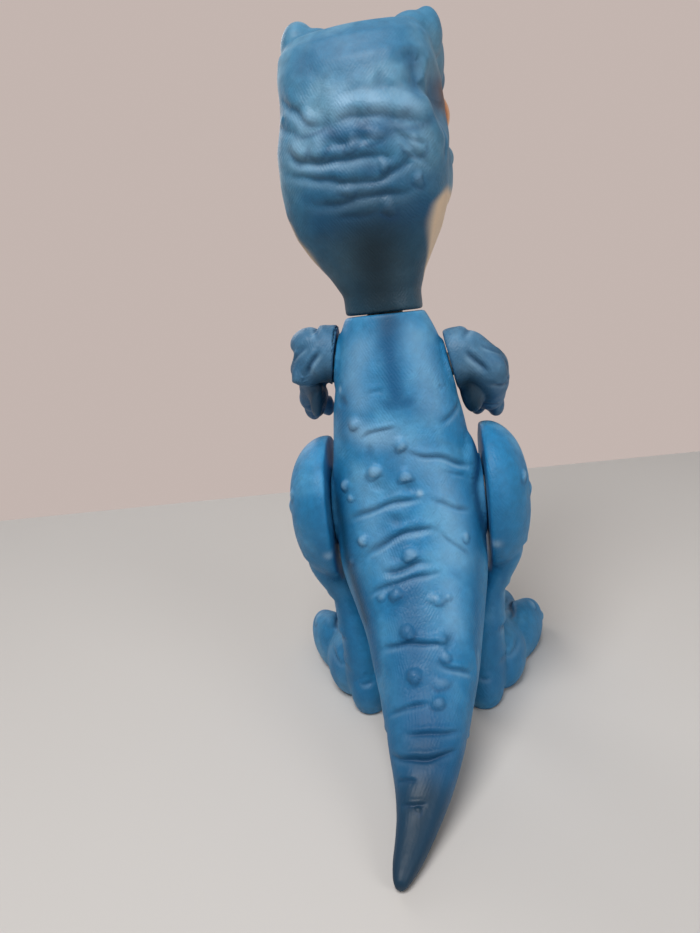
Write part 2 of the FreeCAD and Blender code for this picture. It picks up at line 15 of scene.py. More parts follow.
import bmesh
import bpy
import numpy as np
from bmesh.types import BMEdge, BMesh
from bpy.types import Material, Mesh, Node, NodeSocket, NodeTree, Object
from mathutils import Matrix, Vector
from mathutils.kdtree import KDTree


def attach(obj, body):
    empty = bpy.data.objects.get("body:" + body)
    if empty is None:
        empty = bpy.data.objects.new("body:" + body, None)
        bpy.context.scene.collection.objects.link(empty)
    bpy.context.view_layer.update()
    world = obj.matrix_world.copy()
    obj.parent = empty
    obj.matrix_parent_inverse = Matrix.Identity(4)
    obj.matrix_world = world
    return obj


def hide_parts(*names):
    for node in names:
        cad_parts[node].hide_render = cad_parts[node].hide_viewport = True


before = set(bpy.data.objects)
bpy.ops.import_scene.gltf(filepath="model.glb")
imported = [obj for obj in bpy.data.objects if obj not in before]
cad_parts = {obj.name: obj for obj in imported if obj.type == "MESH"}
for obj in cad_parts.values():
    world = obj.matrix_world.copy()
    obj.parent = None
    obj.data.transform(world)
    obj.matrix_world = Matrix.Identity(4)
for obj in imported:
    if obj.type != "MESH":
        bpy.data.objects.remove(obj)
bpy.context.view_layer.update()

LOG = logging.getLogger("dinosaur")
MM = 0.001
IMAGE_HEIGHT = 933
PLUMB_Y = -6.85  # mm from the frame's middle back to the toy's upright plane
X_AXIS, Y_AXIS, Z_AXIS = Vector((1, 0, 0)), Vector((0, 1, 0)), Vector((0, 0, 1))
Point = tuple[float, float, float]


# ---------------------------------------------------------------- colours and nodes


def linear(hex_code: str) -> tuple[float, float, float, float]:
    """Turns an sRGB hex colour into the linear values that a shader takes.

    Args:
        hex_code: a hash and six digits.

    Returns:
        Red, green, blue and an alpha of one.
    """
    channels = [int(hex_code[k : k + 2], 16) / 255.0 for k in (1, 3, 5)]
    values = [c / 12.92 if c <= 0.04045 else ((c + 0.055) / 1.055) ** 2.4 for c in channels]
    return values[0], values[1], values[2], 1.0


def feed(node: Node, inputs: dict[int | str, object]) -> Node:
    """Fills or links a node's inputs.

    Args:
        node: the node.
        inputs: input name or index to a value, or to the output socket that feeds it.

    Returns:
        The same node.
    """
    for key, value in inputs.items():
        if isinstance(value, NodeSocket):
            node.id_data.links.new(value, node.inputs[key])
        else:
            node.inputs[key].default_value = value
    return node


def add(tree: NodeTree, kind: str, inputs: dict[int | str, object] | None = None, **settings: object) -> Node:
    """Adds one node, sets its properties, and fills or links its inputs.

    Args:
        tree: the node tree.
        kind: the node's type name without the ShaderNode prefix.
        inputs: as feed takes them.
        **settings: the node's own properties.

    Returns:
        The new node.
    """
    node = tree.nodes.new("ShaderNode" + kind)
    for key, value in settings.items():
        setattr(node, key, value)
    return feed(node, inputs or {})


def millimetres(tree: NodeTree) -> NodeSocket:
    """Place on the piece in millimetres."""
    inputs = {"Vector": add(tree, "TexCoord").outputs["Object"], "Scale": (1.0 / MM,) * 3}
    return add(tree, "Mapping", inputs).outputs[0]


def new_material(name: str) -> tuple[Material, NodeTree, Node]:
    """Empty material with its surface shader.

    Args:
        name: the material's name.

    Returns:
        The material, its node tree and its Principled shader.
    """
    material = bpy.data.materials.new(name)
    material.use_nodes = True
    tree = material.node_tree
    tree.nodes.clear()
    shader = add(tree, "BsdfPrincipled")
    add(tree, "OutputMaterial", {0: shader.outputs[0]})
    return material, tree, shader


# ---------------------------------------------------------------- finishes


@dataclass(frozen=True)
class PaintedVinyl:
    """Rotocast soft PVC in one colour, with airbrushed zones and a satin skin.

    The mould leaves a fine hatched hide, which breaks the highlights into short streaks. The airbrush leaves
    soft edges, deeper along the spine and cream on the throat and belly. Painted shade darkens creases, hollows
    and shaded undersides, and painted highlights lighten ridges and wart tops.
    """

    name: str = "painted_vinyl"
    base: str = "#2379AA"
    light: str = "#4A93BE"
    # Next: a deeper airbrush tone that also serves as painted shade; painted shade under overhangs and in
    # hollows, also a dark airbrush at the tail's end; cream paint; painted shade in creases; painted highlight
    # on ridges and wart tops, with some wear; amber paint.
    deep_airbrush_and_shade: str = "#04527F"
    shade_and_dark_airbrush: str = "#05222F"
    cream: str = "#DCC4A8"
    crease_shade: str = "#07365A"
    highlight_and_wear: str = "#86AECB"
    amber: str = "#74491F"
    hatch_pitch: float = 0.62  # mm between the hide's fine diagonal lines
    cell: float = 1.3  # mm across one pebble of the hide
    relief: float = 0.028  # mm of the hide's relief
    roughness: float = 0.5

    def material(self) -> Material:
        """Builds the material, which reads the masks that Carving paints."""
        material, tree, shader = new_material(self.name)
        place = millimetres(tree)
        clouds = []
        for size, detail, roughness in ((14.0, 3.0, 0.55), (2.2, 4.0, 0.6), (5.0, 2.0, 0.5), (9.0, 4.0, 0.5)):
            inputs = {"Vector": place, "Scale": 1.0 / size, "Detail": detail, "Roughness": roughness}
            clouds.append(add(tree, "TexNoise", inputs).outputs[0])
        blotch, grain, lumps, gloss = clouds
        spread = add(tree, "MapRange", {0: blotch, 1: 0.42, 2: 0.68}, interpolation_type="SMOOTHSTEP")
        shades = {0: spread.outputs[0], 6: linear(self.base), 7: linear(self.light)}
        mottled = add(tree, "Mix", shades, data_type="RGBA").outputs[2]
        mist = add(tree, "MapRange", {0: grain, 1: 0.3, 2: 0.7, 3: 0.82, 4: 1.1}).outputs[0]
        grey = add(tree, "CombineColor", {0: mist, 1: mist, 2: mist}).outputs[0]
        colour = add(tree, "Mix", {0: 1.0, 6: mottled, 7: grey}, data_type="RGBA", blend_type="MULTIPLY")
        # Paint layers over the mottled base, with painted shade and painted highlights among them.
        for zone in ("highlight_and_wear", "deep_airbrush_and_shade", "shade_and_dark_airbrush", "amber", "cream", "crease_shade"):
            mask = add(tree, "Attribute", attribute_name=zone).outputs["Fac"]
            layers = {0: mask, 6: colour.outputs[2], 7: linear(getattr(self, zone))}
            colour = add(tree, "Mix", layers, data_type="RGBA")

        edges = {"Vector": place, "Scale": 1.0 / self.cell, "Randomness": 0.9}
        cells = add(tree, "TexVoronoi", edges, feature="DISTANCE_TO_EDGE").outputs[0]
        pebble = add(tree, "MapRange", {0: cells, 1: 0.0, 2: 0.28}, interpolation_type="SMOOTHSTEP").outputs[0]
        hide = add(tree, "Math", {0: self.hatch(tree, place), 1: pebble}, operation="ADD").outputs[0]
        mask = add(tree, "Attribute", attribute_name="hide").outputs["Fac"]
        strength = add(tree, "MapRange", {0: mask, 3: 0.15, 4: 1.0}).outputs[0]
        grooves = {"Strength": strength, "Distance": self.relief * MM, "Height": hide}
        fine = add(tree, "Bump", grooves).outputs[0]
        broad = add(tree, "Bump", {"Strength": 0.6, "Distance": 0.25 * MM, "Height": lumps, "Normal": fine})
        low, high = self.roughness - 0.07, self.roughness + 0.1
        satin = add(tree, "MapRange", {0: gloss, 1: 0.3, 2: 0.7, 3: low, 4: high})
        surface = {"Base Color": colour.outputs[2], "Normal": broad.outputs[0], "Roughness": satin.outputs[0]}
        body = {"IOR": 1.53, "Specular IOR Level": 0.3, "Subsurface Weight": 0.06, "Subsurface Scale": 1.0 * MM}
        feed(shader, surface | body | {"Subsurface Radius": (1.0, 1.2, 1.6)})
        return material

    def hatch(self, tree: NodeTree, place: NodeSocket) -> NodeSocket:
        """Two sets of fine lines that cross on the diagonal, broken up so that neither runs far."""
        sets = []
        for turn in (math.radians(40.0), math.radians(-40.0)):
            turned = add(tree, "Mapping", {"Vector": place, "Rotation": (0.35, turn, 0.2)}).outputs[0]
            lines = {"Vector": turned, "Scale": 0.314 / self.hatch_pitch, "Distortion": 3.0, "Detail": 2.0}
            sets.append(add(tree, "TexWave", lines | {"Detail Scale": 1.2}).outputs["Fac"])
        patches = add(tree, "TexNoise", {"Vector": place, "Scale": 1.0 / 6.0, "Detail": 1.0}).outputs[0]
        swap = add(tree, "MapRange", {0: patches, 1: 0.42, 2: 0.58}, interpolation_type="SMOOTHSTEP").outputs[0]
        return add(tree, "Mix", {0: swap, 2: sets[0], 3: sets[1]}).outputs[0]


@dataclass(frozen=True)
class LacqueredEye:
    """Hard plastic dome with a printed iris under clear lacquer: sharp highlights over amber."""

    name: str = "lacquered_eye"
    pupil: str = "#0A0705"
    inner: str = "#E08A24"
    outer: str = "#8A3D0C"
    rim: str = "#170F0B"

    def material(self) -> Material:
        """Builds the material, which reads the mask gaze: 0 at the pupil's centre, 1 at the rim."""
        material, tree, shader = new_material(self.name)
        gaze = add(tree, "Attribute", attribute_name="gaze").outputs["Fac"]
        streaks = {"Vector": millimetres(tree), "Scale": 1.6, "Detail": 5.0, "Roughness": 0.65}
        rays = add(tree, "TexNoise", streaks)
        uneven = add(tree, "MapRange", {0: rays.outputs[0], 3: -0.06, 4: 0.06})
        spread = add(tree, "Math", {0: uneven.outputs[0], 1: gaze}, operation="ADD")
        iris = add(tree, "ValToRGB", {0: spread.outputs[0]})
        stops = [(0.0, self.pupil), (0.27, self.pupil), (0.31, self.inner), (0.5, self.inner)]
        stops += [(0.66, self.outer), (0.74, self.rim), (1.0, self.rim)]
        band = iris.color_ramp
        while len(band.elements) < len(stops):
            band.elements.new(0.5)
        for element, (position, hex_code) in zip(band.elements, stops):
            element.position = position
            element.color = linear(hex_code)
        feed(shader, {"Base Color": iris.outputs[0], "Roughness": 0.3, "IOR": 1.5})
        feed(shader, {"Coat Weight": 0.45, "Coat Roughness": 0.06})
        return material


@dataclass(frozen=True)
class TintedPlastic:
    """Injection-moulded or painted plastic with faint flow marks: teeth, tongue, palate and hidden plugs."""

    name: str
    base: str
    dark: str
    patch: float = 2.5  # mm
    relief: float = 0.05  # mm
    roughness: float = 0.35
    ior: float = 1.49

    def material(self) -> Material:
        """Builds the material."""
        material, tree, shader = new_material(self.name)
        place = millimetres(tree)
        cloud = add(tree, "TexNoise", {"Vector": place, "Scale": 1.0 / self.patch, "Detail": 4.0}).outputs[0]
        spread = add(tree, "MapRange", {0: cloud, 1: 0.35, 2: 0.75}, interpolation_type="SMOOTHSTEP")
        shades = {0: spread.outputs[0], 6: linear(self.base), 7: linear(self.dark)}
        tone = add(tree, "Mix", shades, data_type="RGBA").outputs[2]
        grain = add(tree, "TexNoise", {"Vector": place, "Scale": 2.0 / self.patch, "Detail": 3.0}).outputs[0]
        bump = add(tree, "Bump", {"Strength": 0.7, "Distance": self.relief * MM, "Height": grain}).outputs[0]
        wear = add(tree, "MapRange", {0: cloud, 3: self.roughness - 0.05, 4: self.roughness + 0.1}).outputs[0]
        feed(shader, {"Base Color": tone, "Normal": bump, "Roughness": wear, "IOR": self.ior})
        return material


@dataclass(frozen=True)
class DrawnSteel:
    """Cut steel wire for the jaw's hinge pins, with fine drawing lines along it."""

    name: str = "drawn_steel"
    dark: str = "#8E9196"
    bright: str = "#C9CCD0"

    def material(self) -> Material:
        """Builds the material."""
        material, tree, shader = new_material(self.name)
        place = add(tree, "Mapping", {"Vector": millimetres(tree), "Scale": (0.2, 6.0, 6.0)}).outputs[0]
        lines = add(tree, "TexNoise", {"Vector": place, "Scale": 1.0, "Detail": 3.0}).outputs[0]
        shades = {0: lines, 6: linear(self.dark), 7: linear(self.bright)}
        tone = add(tree, "Mix", shades, data_type="RGBA").outputs[2]
        rough = add(tree, "MapRange", {0: lines, 3: 0.22, 4: 0.42}).outputs[0]
        feed(shader, {"Base Color": tone, "Roughness": rough, "Metallic": 1.0})
        return material


# ---------------------------------------------------------------- carving


@dataclass(frozen=True)
class Fold:
    """Crease pressed into the skin along a line.

    Seen from outside, it is steep on the line's left and gentle on its right.
    """

    line: tuple[Point, ...]
    width: float = 0.6
    depth: float = 0.45
    roll: float = 0.25
    lap: float = 2.6  # how many times wider the gentle side is


@dataclass(frozen=True)
class Bump:
    """Rounded scale or wart that stands out of the skin; a negative height is a dent."""

    at: Point
    radius: float = 1.6
    height: float = 0.7


@dataclass(frozen=True)
class Spray:
    """Painted patch along a line, of airbrush, painted shade or painted highlight: which mask it paints, how
    wide and how strong.
    """

    mask: str
    line: tuple[Point, ...]
    radius: float
    strength: float = 1.0


Stroke = Fold | Bump | Spray
# Masks: cream paint, a deeper airbrush that is also painted shade, painted shade with a dark airbrush at the
# tail's end, amber paint, painted shade in creases, painted highlight with some wear, and the hide's relief.
ZONES = ("cream", "deep_airbrush_and_shade", "shade_and_dark_airbrush", "amber", "crease_shade", "highlight_and_wear", "hide")
SPAN_STEPS = 6  # points of a curve from one corner to the next
FAR = 1e6


class Side(Enum):
    """Side of the toy, as seen by the toy itself."""

    LEFT = 1.0
    RIGHT = -1.0


def moved(stroke: Stroke, place: Callable[[Point], Point], turned: bool = False) -> Stroke:
    """A stroke moved elsewhere.

    Args:
        stroke: fold, bump or spray.
        place: where each of its points goes.
        turned: whether a fold's line then runs the other way, so that a mirrored fold is steep on the same side.

    Returns:
        The moved stroke.
    """
    if isinstance(stroke, Bump):
        return replace(stroke, at=place(stroke.at))
    line = tuple(place(point) for point in stroke.line)
    return replace(stroke, line=line[::-1] if turned and isinstance(stroke, Fold) else line)


def curved(line: tuple[Point, ...]) -> np.ndarray:
    """Smooth curve through the corners of a line, as closely spaced points.

    Args:
        line: corners; a single one gives a curve of no length.

    Returns:
        One row per point.
    """
    corners = np.array(line, float)
    if len(corners) == 1:
        return np.repeat(corners, 2, 0)
    ends = np.vstack((2.0 * corners[0] - corners[1], corners, 2.0 * corners[-1] - corners[-2]))
    points = [corners[0]]
    for before, start, finish, after in zip(ends, ends[1:], ends[2:], ends[3:]):
        for step in range(1, SPAN_STEPS + 1):
            t = step / SPAN_STEPS
            point = 2.0 * start + (finish - before) * t
            point = point + (2.0 * before - 5.0 * start + 4.0 * finish - after) * t * t
            point = point + (3.0 * start - before - 3.0 * finish + after) * t * t * t
            points.append(0.5 * point)
    return np.array(points)


class Carving:
    """A mesh's points and normals while it is being carved, in millimetres."""

    def __init__(self, mesh: Mesh) -> None:
        """Reads a closed mesh in millimetres."""
        self.mesh = mesh
        count = len(mesh.vertices)
        self.points = np.zeros((count, 3))
        mesh.vertices.foreach_get("co", self.points.ravel())
        self.masks = {name: np.zeros(count) for name in ZONES}
        self.masks["hide"] += 1.0
        self.refresh()

    def refresh(self) -> None:
        """Writes the points back and reads the normals again."""
        self.mesh.vertices.foreach_set("co", self.points.ravel())
        self.mesh.update()
        self.normals = np.zeros_like(self.points)
        self.mesh.vertex_normals.foreach_get("vector", self.normals.ravel())

    def beside(self, line: tuple[Point, ...], spread: float, reach: float) -> tuple[np.ndarray, ...]:
        """Where the points near a line lie beside it, along the skin.

        Args:
            line: corners of the line, which lies near the surface.
            spread: how far from the line points still count.
            reach: how far above or below the skin the line may lie.

        Returns:
            The points' numbers, their distances from the line (negative on its right), and how far along it they
            lie, from 0 to 1.
        """
        curve = curved(line)
        low, high = curve.min(0) - spread, curve.max(0) + spread
        chosen = np.flatnonzero(((self.points > low) & (self.points < high)).all(1))
        points, normals = self.points[chosen], self.normals[chosen]
        lengths = np.linalg.norm(np.diff(curve, axis=0), axis=1)
        whole, done = max(float(lengths.sum()), 1e-6), 0.0
        best, side, share = (np.full(len(chosen), value) for value in (FAR, 1.0, 0.0))
        for start, end, length in zip(curve, curve[1:], lengths):
            along = end - start
            offset = points - start
            t = np.clip(offset @ along / max(length * length, 1e-9), 0.0, 1.0)
            gap = offset - t[:, None] * along
            lift = (gap * normals).sum(1)
            flat = np.sqrt(np.maximum((gap * gap).sum(1) - lift * lift, 0.0))
            flat = np.where(np.abs(lift) < reach, flat, FAR)
            nearer = flat < best
            best = np.where(nearer, flat, best)
            side = np.where(nearer, np.sign((np.cross(normals, along) * gap).sum(1)), side)
            share = np.where(nearer, (done + t * length) / whole, share)
            done += float(length)
        return chosen, best * np.where(side < 0.0, -1.0, 1.0), share

    def press(self, fold: Fold) -> None:
        """Presses one crease, deepest in the middle and fading at its ends, with painted shade along its line
        and a painted highlight on its lower lip.
        """
        chosen, gap, share = self.beside(fold.line, 8.0 * fold.width, 3.5)
        fade = smooth_step(share, -0.06, 0.3) * smooth_step(1.0 - share, -0.06, 0.3)
        x, y, z = self.points[chosen].T
        gap = gap + 0.25 * np.sin(0.55 * x + 0.4 * z) * np.sin(0.3 * x - 0.35 * y + 1.3)
        gentle = np.where(gap < 0.0, fold.lap, 1.0) * fold.width
        groove = fade * np.exp(-((gap / gentle) ** 2))
        line = fade * np.exp(-((gap / (0.8 * fold.width)) ** 2))
        roll = fade * np.exp(-(((gap - 2.2 * fold.width) / (1.3 * fold.width)) ** 2))
        lip = fade * np.exp(-(((gap + 1.5 * fold.width) / (0.9 * fold.width)) ** 2))
        push = fold.roll * roll - fold.depth * (0.55 * groove + 0.45 * line)
        self.points[chosen] += self.normals[chosen] * push[:, None]
        # Painted shade along the crease's line, and a painted highlight on the lit lower lip.
        self.shade("crease_shade", chosen, 0.6 * line * min(1.0, 1.6 * fold.depth))
        self.shade("highlight_and_wear", chosen, 0.5 * lip * min(1.0, 2.0 * fold.depth))

    def swell(self, bump: Bump) -> None:
        """Raises or sinks one round bump; a raised one gets a painted highlight on its top and painted shadow
        under its lower edge, a dent gets painted shade.
        """
        chosen, gap, _ = self.beside((bump.at,), 2.2 * bump.radius, 3.0 * bump.radius)
        x, _, z = (self.points[chosen] - bump.at).T
        angle = np.arctan2(z, x)
        uneven = 1.0 + 0.16 * np.sin(2.0 * angle + 1.7 * bump.at[0]) + 0.1 * np.sin(3.0 * angle + bump.at[2])
        across = np.abs(gap) / bump.radius * uneven
        dome = np.maximum(1.0 - (across / 1.3) ** 2, 0.0) ** 2.0
        foot = np.exp(-(((across - 1.35) / 0.3) ** 2))
        self.points[chosen] += self.normals[chosen] * (bump.height * (dome - 0.08 * foot))[:, None]
        # Painted highlight on a raised bump's top and painted shadow under its lower edge; painted shade in a
        # dent.
        if bump.height > 0:
            self.shade("highlight_and_wear", chosen, 0.6 * dome)
            below = smooth_step(bump.at[2] - self.points[chosen, 2], -0.2 * bump.radius, 0.9 * bump.radius)
            self.shade("crease_shade", chosen, 0.5 * below * foot)
        else:
            self.shade("crease_shade", chosen, 0.3 * dome)

    def shade(self, mask: str, chosen: np.ndarray, values: np.ndarray) -> None:
        """Paints a mask where it is weaker than the new values."""
        self.masks[mask][chosen] = np.maximum(self.masks[mask][chosen], values)

    def spray(self, patch: Spray) -> None:
        """Paints one patch along a line into its mask: airbrush, painted shade or painted highlight."""
        chosen, gap, _ = self.beside(patch.line, 2.4 * patch.radius, 14.0)
        self.shade(patch.mask, chosen, patch.strength * np.exp(-((gap / patch.radius) ** 2)))

    def carve(self, strokes: list[Stroke]) -> None:
        """Applies folds, bumps and sprays in order."""
        for stroke in strokes:
            if isinstance(stroke, Fold):
                self.press(stroke)
            elif isinstance(stroke, Bump):
                self.swell(stroke)
            else:
                self.spray(stroke)
        self.refresh()

    def ripple(self, height: float, pitch: float) -> None:
        """Slight unevenness of a cast skin.

        Args:
            height: how far it goes in or out.
            pitch: distance between neighbouring swells.
        """
        x, y, z = (self.points * (2.0 * math.pi / pitch)).T
        wave = np.sin(x + 0.6 * np.sin(z * 0.7)) + np.sin(y * 1.1 + 1.7) * np.sin(z * 0.9 + x * 0.4)
        self.points += self.normals * (0.5 * height * wave)[:, None]
        self.refresh()

    def finish(self) -> None:
        """Writes the points and the masks into the mesh."""
        self.refresh()
        for name, values in self.masks.items():
            layer = self.mesh.attributes.new(name, "FLOAT", "POINT")
            layer.data.foreach_set("value", np.clip(values, 0.0, 1.0).astype(np.float32))


# ---------------------------------------------------------------- working meshes


def to_mesh(shape: BMesh, name: str) -> Mesh:
    """Mesh of a working mesh, which is freed."""
    mesh = bpy.data.meshes.new(name)
    shape.to_mesh(mesh)
    shape.free()
    return mesh


def append(shape: BMesh, part: BMesh) -> None:
    """Moves one working mesh into another."""
    shape.from_mesh(to_mesh(part, "part"))


def link(name: str, mesh: Mesh) -> Object:
    """New object at the origin that shows a mesh."""
    thing = bpy.data.objects.new(name, mesh)
    bpy.context.scene.collection.objects.link(thing)
    return thing


def baked(thing: Object) -> Mesh:
    """The object's mesh with its modifiers applied; the object itself is removed."""
    graph = bpy.context.evaluated_depsgraph_get()
    graph.update()
    mesh = bpy.data.meshes.new_from_object(thing.evaluated_get(graph))
    bpy.data.objects.remove(thing)
    return mesh


def drawn_over(shape: BMesh, voxel: float, relax: int = 3) -> Mesh:
    """Draws a fine even skin over everything in a working mesh, as one closed surface.

    Args:
        shape: closed forms that may overlap; it is freed.
        voxel: spacing of the skin in millimetres.
        relax: rounds of smoothing.

    Returns:
        The skin, in millimetres.
    """
    thing = link("working", to_mesh(shape, "working"))
    voxels = thing.modifiers.new("voxels", "REMESH")
    voxels.mode = "VOXEL"
    voxels.voxel_size = voxel
    voxels.adaptivity = 0.0
    skin = baked(thing)
    shape = bmesh.new()
    shape.from_mesh(skin)
    for _ in range(relax):
        bmesh.ops.smooth_vert(
            shape, verts=shape.verts, factor=0.5, use_axis_x=True, use_axis_y=True, use_axis_z=True
        )
    shape.to_mesh(skin)
    shape.free()
    return skin


def refined(skin: Mesh, strokes: list[Stroke]) -> Mesh:
    """Splits a skin's faces close to creases and bumps, so that fine ones keep their shape.

    Args:
        skin: closed mesh in millimetres.
        strokes: what will be carved.

    Returns:
        The same mesh with more faces there.
    """
    lines = [curved(stroke.line) for stroke in strokes if isinstance(stroke, Fold)]
    beside_fold = 1.9
    denser = [np.vstack((line, (line[1:] + line[:-1]) / 2.0)) for line in lines]
    spots = [(point, beside_fold) for line in denser for point in line]
    spots += [(np.array(stroke.at), 1.2 * stroke.radius) for stroke in strokes if isinstance(stroke, Bump)]
    tree = KDTree(len(spots))
    for number, (point, _) in enumerate(spots):
        tree.insert(point, number)
    tree.balance()
    shape = bmesh.new()
    shape.from_mesh(skin)
    near = []
    for edge in shape.edges:
        _, number, distance = tree.find((edge.verts[0].co + edge.verts[1].co) / 2.0)
        if distance < spots[number][1]:
            near.append(edge)
    bmesh.ops.subdivide_edges(shape, edges=near, cuts=1, use_grid_fill=True)
    shape.to_mesh(skin)
    shape.free()
    return skin


def cut_out(skin: Mesh, cutters: list[Mesh]) -> Mesh:
    """Cuts solids out of a skin.

    Args:
        skin: closed mesh.
        cutters: closed meshes to take away, in turn.

    Returns:
        The cut mesh.
    """
    thing = link("cut", skin)
    tools = [link("cutter", cutter) for cutter in cutters]
    for tool in tools:
        modifier = thing.modifiers.new("cut", "BOOLEAN")
        modifier.operation = "DIFFERENCE"
        modifier.solver = "EXACT"
        modifier.object = tool
    result = baked(thing)
    for tool in tools:
        bpy.data.objects.remove(tool)
    return result


def ring(
    shape: BMesh, centre: Point, sizes: Point, fullness: float, across: Vector = X_AXIS, upward: Vector = Z_AXIS
) -> list[BMEdge]:
    """Adds one closed outline to a working mesh.

    Args:
        shape: the working mesh.
        centre: middle of the outline.
        sizes: half width, half height above the middle and half height below it.
        fullness: 2 for an ellipse, more for fuller corners.
        across: unit direction of its width.
        upward: unit direction of its height.

    Returns:
        The outline's edges.
    """
    made = bmesh.ops.create_circle(shape, cap_ends=False, radius=1.0, segments=48)
    wide, above, below = sizes
    for vertex in made["verts"]:
        c, s = vertex.co.x, vertex.co.y
        a = math.copysign(abs(c) ** (2.0 / fullness), c) * wide
        b = math.copysign(abs(s) ** (2.0 / fullness), s) * (above if s > 0 else below)
        vertex.co = Vector(centre) + across * a + upward * b
    return list({edge for vertex in made["verts"] for edge in vertex.link_edges})


def fill_open(shape: BMesh) -> None:
    """Fills the open outlines of a working mesh."""
    bmesh.ops.holes_fill(shape, edges=[edge for edge in shape.edges if edge.is_boundary], sides=0)


def lofted(shape: BMesh, outlines: list[list[BMEdge]]) -> BMesh:
    """Bridges outlines one after the other and closes both ends."""
    for first, second in zip(outlines, outlines[1:]):
        bmesh.ops.bridge_loops(shape, edges=first + second)
    fill_open(shape)
    bmesh.ops.recalc_face_normals(shape, faces=shape.faces)
    return shape


def sliced(shape: BMesh, at: Point, outward: Point) -> None:
    """Cuts away what lies past a plane, and closes the cut.

    Args:
        shape: the working mesh.
        at: a point of the plane.
        outward: towards the side that goes.
    """
    geometry = shape.verts[:] + shape.edges[:] + shape.faces[:]
    bmesh.ops.bisect_plane(shape, geom=geometry, dist=1e-5, plane_co=at, plane_no=outward, clear_outer=True)
    fill_open(shape)


def blob(shape: BMesh, centre: Point, half_axes: Point, turn: Point = (0.0, 0.0, 0.0), detail: int = 4) -> None:
    """Adds a rounded lump.

    Args:
        shape: the working mesh.
        centre: its middle.
        half_axes: its half size along each of its own axes.
        turn: degrees about X, then Y, then Z.
        detail: subdivisions of its surface.
    """
    made = bmesh.ops.create_icosphere(shape, subdivisions=detail, radius=1.0)
    bmesh.ops.scale(shape, vec=half_axes, verts=made["verts"])
    for degrees, axis in zip(turn, "XYZ"):
        matrix = Matrix.Rotation(math.radians(degrees), 3, axis)
        bmesh.ops.rotate(shape, cent=(0, 0, 0), matrix=matrix, verts=made["verts"])
    bmesh.ops.translate(shape, vec=centre, verts=made["verts"])


def lump(centre: Point, half_axes: Point) -> Mesh:
    """Mesh of one rounded lump, to cut with."""
    shape = bmesh.new()
    blob(shape, centre, half_axes)
    return to_mesh(shape, "lump")


@dataclass(frozen=True)
class Stopper:
    """Rounded disc that closes a bore in a hollow piece's wall."""

    centre: Point
    radius: float
    lean: float = 0.0  # degrees that its axis rises towards +X
    thick: float = 1.4  # half its thickness


def stopped_copy(node: str, stoppers: tuple[Stopper, ...]) -> BMesh:
    """Copy of a hollow moulded piece with its bores closed, so that a skin drawn over it stays outside.

    Args:
        node: the piece's name.
        stoppers: one for each bore.

    Returns:
        Working mesh in millimetres.
    """
    shape = bmesh.new()
    shape.from_mesh(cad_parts[node].data)
    bmesh.ops.scale(shape, vec=(1.0 / MM,) * 3, verts=shape.verts)
    bmesh.ops.remove_doubles(shape, verts=shape.verts, dist=0.002)
    for stopper in stoppers:
        half_axes = (stopper.thick, stopper.radius, stopper.radius)
        blob(shape, stopper.centre, half_axes, (0.0, -stopper.lean, 0.0))
    return shape


def carved(
    skin: Mesh,
    strokes: list[Stroke],
    swells: tuple[float, float],
    paint: Callable[[Carving], None] | None = None,
) -> Mesh:
    """Carves and paints a skin.

    Args:
        skin: closed mesh in millimetres.
        strokes: folds, bumps and sprays.
        swells: height and pitch of the cast skin's unevenness.
        paint: last changes to its points and masks.

    Returns:
        The same mesh.
    """
    carving = Carving(refined(skin, strokes))
    carving.ripple(*swells)
    carving.carve(strokes)
    if paint:
        paint(carving)
    carving.finish()
    return skin


def finished(name: str, mesh: Mesh, material: Material, body: str, node: str) -> None:
    """Turns a working mesh into a finished piece in metres that rides on its body.

    Args:
        name: the piece's name.
        mesh: its mesh in millimetres.
        material: its finish.
        body: the body it moves with.
        node: the frame's node that it stands for.
    """
    mesh.transform(Matrix.Scale(MM, 4))
    mesh.materials.clear()
    mesh.materials.append(material)
    mesh.shade_smooth()
    piece = link(name, mesh)
    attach(piece, body)
    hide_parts(node)
    LOG.info("%s: %d faces on %s", name, len(mesh.polygons), body)


def smooth_step(values: np.ndarray, low: float, high: float) -> np.ndarray:
    """Smooth 0 to 1 as values rise from low to high."""
    share = np.clip((values - low) / (high - low), 0.0, 1.0)
    return share * share * (3.0 - 2.0 * share)


# ---------------------------------------------------------------- the toy


